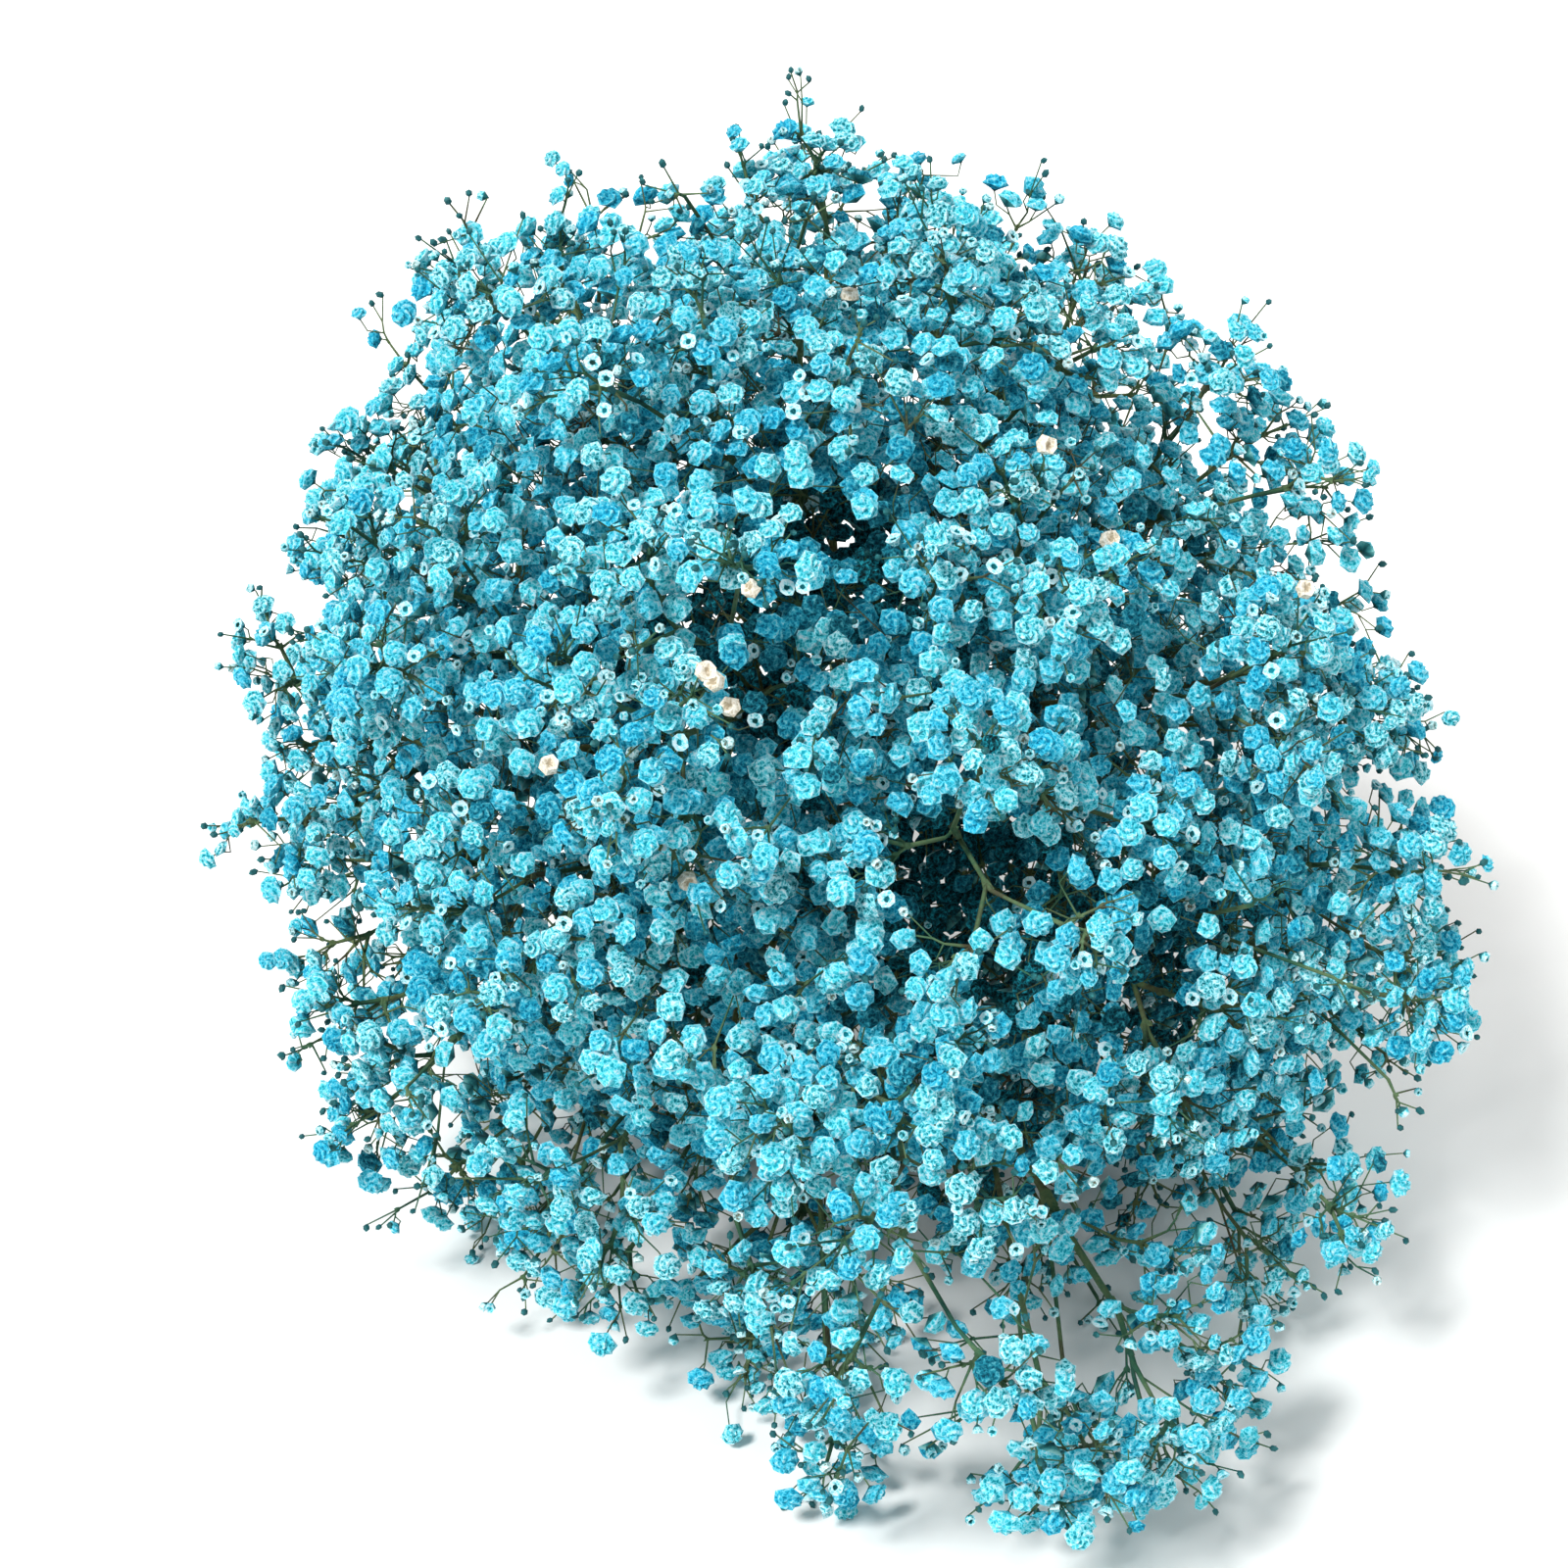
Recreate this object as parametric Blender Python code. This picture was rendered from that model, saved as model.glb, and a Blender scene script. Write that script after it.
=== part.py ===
"""A bunch of dyed, dried baby's breath lying on its side.

Thirty cut sprays fan out from a rubber band into one round head of blooms. The cut ends
and the lowest blooms touch the surface at z = 0, and the head points along -Y.
"""
import math
import random
from collections import namedtuple

import bmesh
import bpy
from mathutils import Vector

# Driving dimensions, in metres. Angles are in degrees where they are named here.
SEED = 297
SPRAY_COUNT = 30
LEAN = 24                     # how far the bundle rises from its cut ends to the head
BAND_HEIGHT = 0.1065          # middle of the band above the surface
STEM_BEHIND_BAND = 0.228      # stem length from the band back to the cut ends
CUT_JITTER = (-0.010, 0.006)
STEM_RADIUS = 0.00145
STEM_SPACING = 0.0019         # growth of the spiral that the stems pack into at the band
STEM_FLARE = 1.5              # how far the stems spread from the band to the cut ends
STEM_GAP = 0.0003             # between the stems and the band
STEM_STRAIGHT = 0.0015        # stems run straight this far past each side of the band
STEM_PRESS = 0.0003           # how far the lowest cut ends are pressed flat
FAN_SETBACK = 0.011           # the fan's origin lies this far behind the band
FAN_BEND_END = 0.085          # where a stem has turned into its own direction
FAN_PULL = 0.8                # how gently it turns
FAN_ANGLE = 65                # steepest spray off the bundle's axis
BLOOM_FAN_ANGLE = 72          # steepest bloom off the bundle's axis
HEAD_FORWARD = 0.150          # middle of the round head ahead of the fan's origin
HEAD_ROUND = 0.200            # radius of the head's front
OUTLINE_FULL_TILT = 40        # off the axis, the front has turned into the outline
# The head's outline seen end on: radius every 15 degrees, from the right and upwards.
HEAD_OUTLINE = (0.192, 0.188, 0.188, 0.186, 0.191, 0.200, 0.216, 0.218, 0.226, 0.222, 0.199, 0.207,
                0.200, 0.200, 0.204, 0.209, 0.208, 0.213, 0.266, 0.284, 0.264, 0.216, 0.217, 0.218)
SPRAY_REACH = (0.93, 1.04)    # how far each spray grows against the head's surface
BLOOM_RADIUS = 0.0210         # larger than life: one stands for a cluster of real blooms
INNER_RADIUS = 0.0170         # blooms inside the head
BUD_RADIUS = 0.0018
NODE_CLEARANCE = 0.00025      # from a bloom to the middle of the gap to the next spray
# Layers of the head: how many blooms or buds, their radius, their least spacing, and the
# nearest and furthest they lie as a share of the head's reach.
LAYERS = ((146, BLOOM_RADIUS, 0.035, 0.90, 1.0),
          (88, INNER_RADIUS, 0.028, 0.50, 0.86),
          (20, BUD_RADIUS, 0.019, 0.97, 1.04))
PLACES_DRAWN = 400            # places drawn for each bloom
PLACES_WEIGHED = 2            # of these, the first that are clear are weighed for the widest gap
PRESS = 0.0012                # how far a resting bloom is pressed flat

PETALS = 5
BUD_SIDES = 4
PETAL_NOTCH = 0.80            # radius between two petals, as a share of the bloom's
NOTCH_RISE = 0.28             # a notch lies this much of the radius above the petal tips
RUFFLE = 0.08                 # how much the notches rise and fall round the bloom
RUFFLE_WAVES = 3
RUFFLE_SHIFT = 5              # turns the waves against the petals, a new way for each bloom
CALYX_DEPTH = 0.62
CALYX_RADIUS = 0.0010
BUD_CALYX = 0.5               # a bud's calyx radius, as a share of the bud's
DOME_HEIGHT = 0.66
TWIG_RADIUS = 0.0007
TWIG_GROWTH = 0.33            # power of the bloom count that a twig's radius grows with
LAST_TWIG = 0.018             # at least this much twig is left after the last fork
SHORTEST_STEP = 0.008
FORK_SHARE = 0.5              # a twig forks this far along the way to its blooms' middle
THREE_FORKS_ABOVE = 5         # a twig with more blooms than this forks in three, not two
FORK_BACK = (0.005, 0.009)    # side twigs leave this far before the fork, one after the other
FORK_BACK_SHARE = 0.7
STEEPEST_CALYX = 55           # past this angle a twig bends into its bloom by a short neck
NECK_LENGTH = 0.006
TWIG_SIDES = 3
STEM_SIDES = 5

BAND_HALF_WIDTH = 0.0036
BAND_THICKNESS = 0.0016
BAND_GROOVE = 0.6             # thickness left between two turns, as a share
BAND_TURNS = 3
BAND_EDGE = 0.2               # slope at each side of a turn, as a share of its width
BAND_SMOOTH = 40              # edges flatter than this are shaded smooth
BAND_SEGMENTS = 20

GOLDEN_ANGLE = math.pi * (3 - math.sqrt(5))
ACROSS = Vector((1, 0, 0))
FORWARD = Vector((0, -math.cos(math.radians(LEAN)), math.sin(math.radians(LEAN))))
UPWARD = Vector((0, math.sin(math.radians(LEAN)), math.cos(math.radians(LEAN))))
BAND_MIDDLE = Vector((0, 0, BAND_HEIGHT))
FAN_ORIGIN = BAND_MIDDLE - FORWARD * FAN_SETBACK
HEAD_MIDDLE = FAN_ORIGIN + FORWARD * HEAD_FORWARD

Bloom = namedtuple("Bloom", "centre facing phase radius")


def clear_scene():
    for item in list(bpy.data.objects):
        bpy.data.objects.remove(item, do_unlink=True)


def make_material(name, colour, roughness):
    material = bpy.data.materials.new(name)
    material.use_nodes = True
    shader = material.node_tree.nodes["Principled BSDF"]
    shader.inputs["Base Color"].default_value = (*colour, 1)
    shader.inputs["Roughness"].default_value = roughness
    shader.inputs["Metallic"].default_value = 0
    material.diffuse_color = (*colour, 1)
    return material


# The bunch's form

def off_axis(tilt, clock):
    """The direction that leans off the bundle's axis by a tilt, towards a clock angle."""
    side = ACROSS * math.cos(clock) + UPWARD * math.sin(clock)
    return FORWARD * math.cos(tilt) + side * math.sin(tilt)


def spray_directions():
    """Directions of the sprays, spread evenly over the fan on a golden spiral."""
    cap = 1 - math.cos(math.radians(FAN_ANGLE))
    directions = []
    for index in range(SPRAY_COUNT):
        tilt = math.acos(1 - cap * (index + 0.5) / SPRAY_COUNT)
        directions.append(off_axis(tilt, index * GOLDEN_ANGLE))
    return directions


def stem_offset(index):
    """Where a stem passes through the band, on the same spiral as its direction."""
    clock = index * GOLDEN_ANGLE
    return (ACROSS * math.cos(clock) + UPWARD * math.sin(clock)) * STEM_SPACING * math.sqrt(index + 0.5)


def outline_radius(clock):
    """Radius of the head's outline at a clock angle."""
    count = len(HEAD_OUTLINE)
    place = (clock % math.tau) / math.tau * count
    before = int(place) % count
    after = (before + 1) % count
    share = place - int(place)
    return HEAD_OUTLINE[before] * (1 - share) + HEAD_OUTLINE[after] * share


def head_reach(direction):
    """Distance from the fan's origin to the head's surface along a direction."""
    tilt = math.acos(min(1, direction.dot(FORWARD)))
    clock = math.atan2(direction.dot(UPWARD), direction.dot(ACROSS))
    turned = min(1, tilt / math.radians(OUTLINE_FULL_TILT))
    turned = turned * turned * (3 - 2 * turned)
    radius = HEAD_ROUND + (outline_radius(clock) - HEAD_ROUND) * turned
    beside = HEAD_FORWARD * math.sin(tilt)
    return HEAD_FORWARD * math.cos(tilt) + math.sqrt(radius ** 2 - beside ** 2)


# Blooms

def side_axes(facing):
    """Two directions at right angles to a facing direction and to each other."""
    helper = ACROSS if abs(facing.x) < 0.8 else UPWARD
    first = facing.cross(helper).normalized()
    return first, facing.cross(first)


def rim_of(bloom):
    """The widest ring of a bloom, its petal tips with higher notches between, or of a bud."""
    first, second = side_axes(bloom.facing)
    petals = bloom.radius > BUD_RADIUS
    count = 2 * PETALS if petals else BUD_SIDES
    ring = []
    for step in range(count):
        angle = bloom.phase + math.tau * step / count
        notch = petals and step % 2 == 1
        out = bloom.radius * (PETAL_NOTCH if notch else 1)
        waves = math.sin(RUFFLE_WAVES * angle + RUFFLE_SHIFT * bloom.phase)
        rise = bloom.radius * (NOTCH_RISE + RUFFLE * waves) if notch else 0
        side = first * math.cos(angle) + second * math.sin(angle)
        ring.append(bloom.centre + side * out + bloom.facing * rise)
    return ring


def tip_of(bloom):
    return bloom.centre + bloom.facing * (DOME_HEIGHT * bloom.radius)


def foot_of(bloom):
    """Where the twig widens into the bloom."""
    return bloom.centre - bloom.facing * (CALYX_DEPTH * bloom.radius)


def draw_bloom(draw, layer, directions, reaches):
    """Draw one bloom in a layer, and the spray that owns it: the one whose direction is nearest."""
    _, radius, _, shallow, deep = layer
    cap = 1 - math.cos(math.radians(BLOOM_FAN_ANGLE))
    direction = off_axis(math.acos(1 - cap * draw.random()), math.tau * draw.random())
    depth = draw.uniform(shallow, deep)
    phase = draw.uniform(0, math.tau)
    owner = max(range(SPRAY_COUNT), key=lambda index: direction.dot(directions[index]))
    centre = FAN_ORIGIN + direction * (head_reach(direction) * reaches[owner] * depth)
    rests = centre.z < radius
    if rests:
        centre = FAN_ORIGIN + direction * ((FAN_ORIGIN.z - radius) / -direction.z)
    facing = (direction + (centre - HEAD_MIDDLE).normalized()).normalized()
    bloom = Bloom(centre, facing, phase, radius)
    if rests:
        lowest = min(point.z for point in rim_of(bloom) + [tip_of(bloom)])
        centre.z -= lowest + PRESS
    return bloom, owner


def place_blooms(directions):
    """Draw the head's blooms and buds, each clear of the others and of every other spray.

    A plane through the fan's origin lies midway between each two sprays' directions, and no
    bloom comes nearer to it than its radius. Of the clear places drawn, the emptiest is kept.
    """
    draw = random.Random(SEED)
    reaches = [draw.uniform(*SPRAY_REACH) for _ in directions]
    planes = [[(own - other).normalized() for other in directions if other is not own]
              for own in directions]
    blooms = [[] for _ in directions]
    placed = []
    for layer in LAYERS:
        for _ in range(layer[0]):
            weighed = []
            for _ in range(PLACES_DRAWN):
                bloom, owner = draw_bloom(draw, layer, directions, reaches)
                from_origin = bloom.centre - FAN_ORIGIN
                margin = bloom.radius + NODE_CLEARANCE
                if any(from_origin.dot(plane) < margin for plane in planes[owner]):
                    continue
                gap = min(((bloom.centre - other.centre).length for other in placed), default=1)
                if gap < layer[2]:
                    continue
                weighed.append((gap, bloom, owner))
                if len(weighed) == PLACES_WEIGHED:
                    break
            if weighed:
                _, bloom, owner = max(weighed, key=lambda choice: choice[0])
                blooms[owner].append(bloom)
                placed.append(bloom)
    return blooms


# Stems and twigs

def twig_radius(bloom_count):
    """A twig is as thick as the number of blooms that it carries asks for."""
    return min(STEM_RADIUS, TWIG_RADIUS * bloom_count ** TWIG_GROWTH)


def stem_route(index, direction, draw):
    """Points of a stem from its cut end, through the band, to where it runs straight."""
    offset = stem_offset(index)
    foot = offset * STEM_FLARE
    level = BAND_HEIGHT + foot.z - STEM_RADIUS * math.cos(math.radians(LEAN))
    longest = (level + STEM_PRESS) / math.sin(math.radians(LEAN))
    length = min(STEM_BEHIND_BAND + draw.uniform(*CUT_JITTER), longest)
    clamp = FORWARD * (BAND_HALF_WIDTH + STEM_STRAIGHT)
    start = BAND_MIDDLE + offset + clamp
    end = FAN_ORIGIN + direction * FAN_BEND_END
    pull = (end - start).length * FAN_PULL
    route = [BAND_MIDDLE + foot - FORWARD * length, BAND_MIDDLE + offset - clamp, start]
    for share in (1 / 3, 2 / 3, 1):
        back = (1 + 2 * share) * (1 - share) ** 2
        leave = share * (1 - share) ** 2 * pull
        arrive = share ** 2 * (share - 1) * pull
        route.append(start * back + end * (1 - back) + FORWARD * leave + direction * arrive)
    return route


def apart(one, other):
    return (one.centre - other.centre).length


def split_blooms(blooms):
    """Share blooms out to two or three forks, by their nearness to the ones furthest apart."""
    pairs = [(one, two) for one in blooms for two in blooms]
    seeds = list(max(pairs, key=lambda pair: apart(*pair)))
    if len(blooms) > THREE_FORKS_ABOVE:
        seeds.append(max(blooms, key=lambda bloom: min(apart(bloom, seed) for seed in seeds)))
    groups = [[] for _ in seeds]
    for bloom in blooms:
        nearest = min(range(len(seeds)), key=lambda index: apart(bloom, seeds[index]))
        groups[nearest].append(bloom)
    groups.sort(key=len, reverse=True)
    return groups


def grow(route, blooms, twigs):
    """Lengthen a twig towards its blooms, and start a side twig for each further fork."""
    point = route[-1][0]
    if len(blooms) == 1:
        bloom = blooms[0]
        foot = foot_of(bloom)
        if (foot - point).angle(bloom.facing) > math.radians(STEEPEST_CALYX):
            route.append((foot - bloom.facing * NECK_LENGTH, TWIG_RADIUS))
        twigs.append((route, bloom))
        return
    middle = sum((bloom.centre for bloom in blooms), Vector()) / len(blooms)
    nearest = min((foot_of(bloom) - FAN_ORIGIN).length for bloom in blooms)
    room = nearest - LAST_TWIG - (point - FAN_ORIGIN).length
    ahead = middle - point
    step = max(SHORTEST_STEP, min(FORK_SHARE * ahead.length, room))
    fork = point + ahead.normalized() * step
    route.append((fork, twig_radius(len(blooms))))
    groups = split_blooms(blooms)
    grow(route, groups[0], twigs)
    for number, group in enumerate(groups[1:]):
        root = fork - ahead.normalized() * min(FORK_BACK[number], FORK_BACK_SHARE * step)
        grow([(root, twig_radius(len(group)))], group, twigs)


# Solids

def stitch(shape, lower, upper):
    """Close the skin between two rings of points that run the same way round."""
    here = 0
    there = 0
    while here + there < len(lower) + len(upper):
        low = lower[here % len(lower)]
        high = upper[there % len(upper)]
        if (here + 0.5) / len(lower) < (there + 0.5) / len(upper):
            here += 1
            shape.faces.new((low, lower[here % len(lower)], high))
        else:
            there += 1
            shape.faces.new((low, upper[there % len(upper)], high))


def tube_rings(route, sides, facing):
    """Rings of points along a twig's route, each turned as little as possible from the last."""
    rings = []
    normal = None
    for index, (point, radius) in enumerate(route):
        if index + 1 == len(route):
            heading = facing
        else:
            before = route[max(0, index - 1)][0]
            heading = (route[index + 1][0] - before).normalized()
        if normal is None:
            normal, _ = side_axes(heading)
        normal = (normal - heading * normal.dot(heading)).normalized()
        across = heading.cross(normal)
        count = sides[index]
        ring = []
        for step in range(count):
            angle = math.tau * step / count
            ring.append(point + (normal * math.cos(angle) + across * math.sin(angle)) * radius)
        rings.append(ring)
    return rings


def skin(rings, tip, name):
    """One closed body through rings of points, with a flat start and a pointed end."""
    shape = bmesh.new()
    made = [[shape.verts.new(point) for point in ring] for ring in rings]
    rim = made[-1]
    start = min(range(len(rim)), key=lambda index: (rim[index].co - made[-2][0].co).length)
    made[-1] = rim[start:] + rim[:start]
    shape.faces.new(made[0][::-1])
    for lower, upper in zip(made, made[1:]):
        stitch(shape, lower, upper)
    top = shape.verts.new(tip)
    last = made[-1]
    for index, corner in enumerate(last):
        shape.faces.new((corner, last[(index + 1) % len(last)], top))
    bmesh.ops.recalc_face_normals(shape, faces=shape.faces)
    mesh = bpy.data.meshes.new(name)
    shape.to_mesh(mesh)
    shape.free()
    return bpy.data.objects.new(name, mesh)


def twig_solid(route, sides, bloom, name):
    """A twig and the bloom or bud on its end, as one closed body."""
    calyx_radius = min(CALYX_RADIUS, BUD_CALYX * bloom.radius)
    rings = tube_rings(route + [(foot_of(bloom), calyx_radius)], sides + [TWIG_SIDES], bloom.facing)
    rings.append(rim_of(bloom))
    return skin(rings, tip_of(bloom), name)


def fuse(pieces, name):
    """One solid from overlapping pieces, by one union on a collection."""
    parts = bpy.data.collections.new(name + "_parts")
    for piece in pieces[1:]:
        parts.objects.link(piece)
    base = pieces[0]
    base.name = name
    bpy.context.scene.collection.objects.link(base)
    bpy.context.scene.collection.children.link(parts)
    union = base.modifiers.new("union", "BOOLEAN")
    union.operation = "UNION"
    union.operand_type = "COLLECTION"
    union.collection = parts
    union.solver = "MANIFOLD"
    apply_modifiers(base)
    for piece in pieces[1:]:
        bpy.data.objects.remove(piece, do_unlink=True)
    bpy.data.collections.remove(parts)
    return base


def apply_modifiers(item):
    """Keep the shape that an object's modifiers give, and drop the modifiers."""
    graph = bpy.context.evaluated_depsgraph_get()
    mesh = bpy.data.meshes.new_from_object(item.evaluated_get(graph))
    item.modifiers.clear()
    item.data = mesh


def trim_at_surface(item):
    """Press an object's lowest points flat at z = 0."""
    if min(vertex.co.z for vertex in item.data.vertices) >= 0:
        return
    shape = bmesh.new()
    shape.from_mesh(item.data)
    everything = shape.verts[:] + shape.edges[:] + shape.faces[:]
    cut = bmesh.ops.bisect_plane(shape, geom=everything, plane_co=(0, 0, 0), plane_no=(0, 0, -1),
                                 clear_outer=True, dist=1e-7)
    edges = [part for part in cut["geom_cut"] if isinstance(part, bmesh.types.BMEdge)]
    bmesh.ops.edgeloop_fill(shape, edges=edges)
    bmesh.ops.triangulate(shape, faces=[face for face in shape.faces if len(face.verts) > 3])
    shape.to_mesh(item.data)
    shape.free()


def make_spray(index, direction, blooms, draw, material):
    """One cut stem with everything that grew on it, as one solid."""
    route = [(point, STEM_RADIUS) for point in stem_route(index, direction, draw)]
    stem_rings = len(route)
    twigs = []
    grow(route, blooms, twigs)
    pieces = []
    for number, (route, bloom) in enumerate(twigs):
        thick = stem_rings if number == 0 else 0
        sides = [STEM_SIDES if place < thick else TWIG_SIDES for place in range(len(route))]
        pieces.append(twig_solid(route, sides, bloom, "twig"))
    spray = fuse(pieces, f"spray_{index + 1:02d}")
    trim_at_surface(spray)
    spray.data.materials.clear()
    spray.data.materials.append(material)
    return spray


def make_band(material):
    """The rubber band: a closed ring of a few turns side by side."""
    inner = STEM_SPACING * math.sqrt(SPRAY_COUNT - 0.5) + STEM_RADIUS + STEM_GAP
    profile = [(inner, -BAND_HALF_WIDTH), (inner, BAND_HALF_WIDTH)]
    turn = 2 * BAND_HALF_WIDTH / BAND_TURNS
    for number in range(BAND_TURNS):
        top = BAND_HALF_WIDTH - turn * number
        profile.append((inner + BAND_THICKNESS, top - BAND_EDGE * turn))
        profile.append((inner + BAND_THICKNESS, top - (1 - BAND_EDGE) * turn))
        if number < BAND_TURNS - 1:
            profile.append((inner + BAND_GROOVE * BAND_THICKNESS, top - turn))
    shape = bmesh.new()
    points = [shape.verts.new(BAND_MIDDLE + ACROSS * out + FORWARD * along) for out, along in profile]
    edges = [shape.edges.new((points[place - 1], points[place])) for place in range(len(points))]
    bmesh.ops.spin(shape, geom=points + edges, cent=BAND_MIDDLE, axis=FORWARD, angle=math.tau,
                   steps=BAND_SEGMENTS, use_merge=True)
    bmesh.ops.recalc_face_normals(shape, faces=shape.faces)
    mesh = bpy.data.meshes.new("band")
    shape.to_mesh(mesh)
    shape.free()
    mesh.shade_smooth()
    mesh.set_sharp_from_angle(angle=math.radians(BAND_SMOOTH))
    band = bpy.data.objects.new("band", mesh)
    band.data.materials.append(material)
    bpy.context.scene.collection.objects.link(band)
    return band


def centre_on_footprint(items):
    """Move the model so that the middle of its footprint is the origin."""
    corners = [vertex.co for item in items for vertex in item.data.vertices]
    middle = Vector((0, 0, 0))
    middle.x = (min(corner.x for corner in corners) + max(corner.x for corner in corners)) / 2
    middle.y = (min(corner.y for corner in corners) + max(corner.y for corner in corners)) / 2
    for item in items:
        for vertex in item.data.vertices:
            vertex.co -= middle


def main():
    clear_scene()
    dyed = make_material("dyed_baby_breath", (0.10, 0.42, 0.56), 0.85)
    rubber = make_material("natural_rubber", (0.62, 0.42, 0.22), 0.6)
    directions = spray_directions()
    blooms = place_blooms(directions)
    draw = random.Random(SEED + 1)
    items = []
    for index, direction in enumerate(directions):
        items.append(make_spray(index, direction, blooms[index], draw, dyed))
    items.append(make_band(rubber))
    centre_on_footprint(items)


main()
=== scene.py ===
import math
import random
from collections import Counter, namedtuple

import bmesh
import bpy
import numpy as np
from mathutils import Matrix, Vector


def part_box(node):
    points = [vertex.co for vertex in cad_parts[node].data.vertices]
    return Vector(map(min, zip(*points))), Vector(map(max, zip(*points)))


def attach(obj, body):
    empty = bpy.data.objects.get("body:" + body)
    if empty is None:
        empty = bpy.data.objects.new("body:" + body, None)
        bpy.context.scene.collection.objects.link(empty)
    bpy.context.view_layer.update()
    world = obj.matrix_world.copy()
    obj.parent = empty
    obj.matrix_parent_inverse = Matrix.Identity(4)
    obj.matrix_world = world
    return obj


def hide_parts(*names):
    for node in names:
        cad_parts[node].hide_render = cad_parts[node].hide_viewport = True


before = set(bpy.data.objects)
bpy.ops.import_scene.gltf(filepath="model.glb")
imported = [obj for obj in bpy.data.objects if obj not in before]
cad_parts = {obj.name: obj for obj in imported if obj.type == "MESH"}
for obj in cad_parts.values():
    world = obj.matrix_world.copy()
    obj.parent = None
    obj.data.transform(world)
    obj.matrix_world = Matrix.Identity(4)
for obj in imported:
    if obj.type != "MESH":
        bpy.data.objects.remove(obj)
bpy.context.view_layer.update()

scene = bpy.context.scene

# The bunch grows as the part's own source grows it, so each finer spray keeps its node's form.
# Sizes are in metres, angles in radians.
bunch = {
    "seed": 297,
    "sprays": 30,
    "lean": math.radians(24),  # how far the bundle rises from its cut ends to the head
    "bandHeight": 0.1065,
    "stemBehindBand": 0.228,
    "cutJitter": (-0.010, 0.006),
    "stemRadius": 0.00145,
    "stemSpacing": 0.0019,  # growth of the spiral that the stems pack into
    "stemFlare": 1.5,
    "stemStraight": 0.0015,
    "stemPress": 0.0003,
    "fanSetback": 0.011,
    "fanBendEnd": 0.085,
    "fanPull": 0.8,
    "fanAngle": math.radians(65),
    "bloomFanAngle": math.radians(72),
    "headForward": 0.150,
    "headRound": 0.200,
    "outlineFullTilt": math.radians(40),
    "outline": (0.192, 0.188, 0.188, 0.186, 0.191, 0.200, 0.216, 0.218, 0.226, 0.222, 0.199, 0.207,
                0.200, 0.200, 0.204, 0.209, 0.208, 0.213, 0.266, 0.284, 0.264, 0.216, 0.217, 0.218),
    "sprayReach": (0.93, 1.04),
    "clusterRadius": 0.0210,  # the node's large bloom, which stands for a cluster
    "innerRadius": 0.0170,
    "budRadius": 0.0018,
    "clearance": 0.00025,
    "placesDrawn": 400,
    "placesWeighed": 2,
    "press": 0.0012,
    "calyxDepth": 0.62,
    "domeHeight": 0.66,
    "twigRadius": 0.0007,
    "twigGrowth": 0.33,
    "lastTwig": 0.018,
    "shortestStep": 0.008,
    "forkShare": 0.5,
    "forkBack": (0.005, 0.009),
    "forkBackShare": 0.7,
}
# how many, radius, least spacing, nearest and furthest share of the head's reach
layers = ((146, bunch["clusterRadius"], 0.035, 0.90, 1.0),
          (88, bunch["innerRadius"], 0.028, 0.50, 0.86),
          (20, bunch["budRadius"], 0.019, 0.97, 1.04))

goldenAngle = math.pi * (3 - math.sqrt(5))
across = Vector((1, 0, 0))
forward = Vector((0, -math.cos(bunch["lean"]), math.sin(bunch["lean"])))
upward = Vector((0, math.sin(bunch["lean"]), math.cos(bunch["lean"])))
bandMiddle = Vector((0, 0, bunch["bandHeight"]))
fanOrigin = bandMiddle - forward * bunch["fanSetback"]
headMiddle = fanOrigin + forward * bunch["headForward"]
bandLow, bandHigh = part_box("band")
toFrame = (bandLow + bandHigh) / 2 - bandMiddle  # from the form's own frame to the CAD's

Site = namedtuple("Site", "centre facing phase radius")
Item = namedtuple("Item", "kind centre facing radius dye")


def clamped(value):
    return min(1, max(0, value))


# The camera looks down into the head, as the photograph does

camera = {
    "distance": 1.3,
    "elevation": math.radians(30),
    "pixel": 0.000323,  # size of one pixel of the 1600 at the head's middle
    "frame": 1600,
    "headAt": (865, 800),  # the head's middle in the photograph
}
towardCamera = Vector((0, -math.cos(camera["elevation"]), math.sin(camera["elevation"])))
cameraUp = Vector((0, math.sin(camera["elevation"]), math.cos(camera["elevation"])))
halfFrame = camera["frame"] / 2
lookedAt = (headMiddle + across * ((halfFrame - camera["headAt"][0]) * camera["pixel"])
            + cameraUp * ((camera["headAt"][1] - halfFrame) * camera["pixel"]))


def makeCamera():
    data = bpy.data.cameras.new("photoCamera")
    eye = bpy.data.objects.new("photoCamera", data)
    scene.collection.objects.link(eye)
    eye.location = lookedAt + toFrame + towardCamera * camera["distance"]
    eye.rotation_euler = (math.pi / 2 - camera["elevation"], 0, 0)
    data.sensor_width = 36
    data.lens = data.sensor_width / 2 * camera["distance"] / (halfFrame * camera["pixel"])
    data.dof.use_dof = False
    scene.camera = eye
    print("camera set")


def photoPixel(point):
    # where a point of the form shows in the photograph's frame
    away = point - lookedAt
    scale = camera["distance"] / (camera["distance"] - away.dot(towardCamera)) / camera["pixel"]
    return (halfFrame + away.x * scale, halfFrame - away.dot(cameraUp) * scale)


# The bunch's skeleton

def offAxis(tilt, clock):
    side = across * math.cos(clock) + upward * math.sin(clock)
    return forward * math.cos(tilt) + side * math.sin(tilt)


def sprayDirections():
    cap = 1 - math.cos(bunch["fanAngle"])
    directions = []
    for index in range(bunch["sprays"]):
        tilt = math.acos(1 - cap * (index + 0.5) / bunch["sprays"])
        directions.append(offAxis(tilt, index * goldenAngle))
    return directions


def outlineRadius(clock):
    outline = bunch["outline"]
    place = (clock % math.tau) / math.tau * len(outline)
    before = int(place) % len(outline)
    share = place - int(place)
    return outline[before] * (1 - share) + outline[(before + 1) % len(outline)] * share


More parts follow.
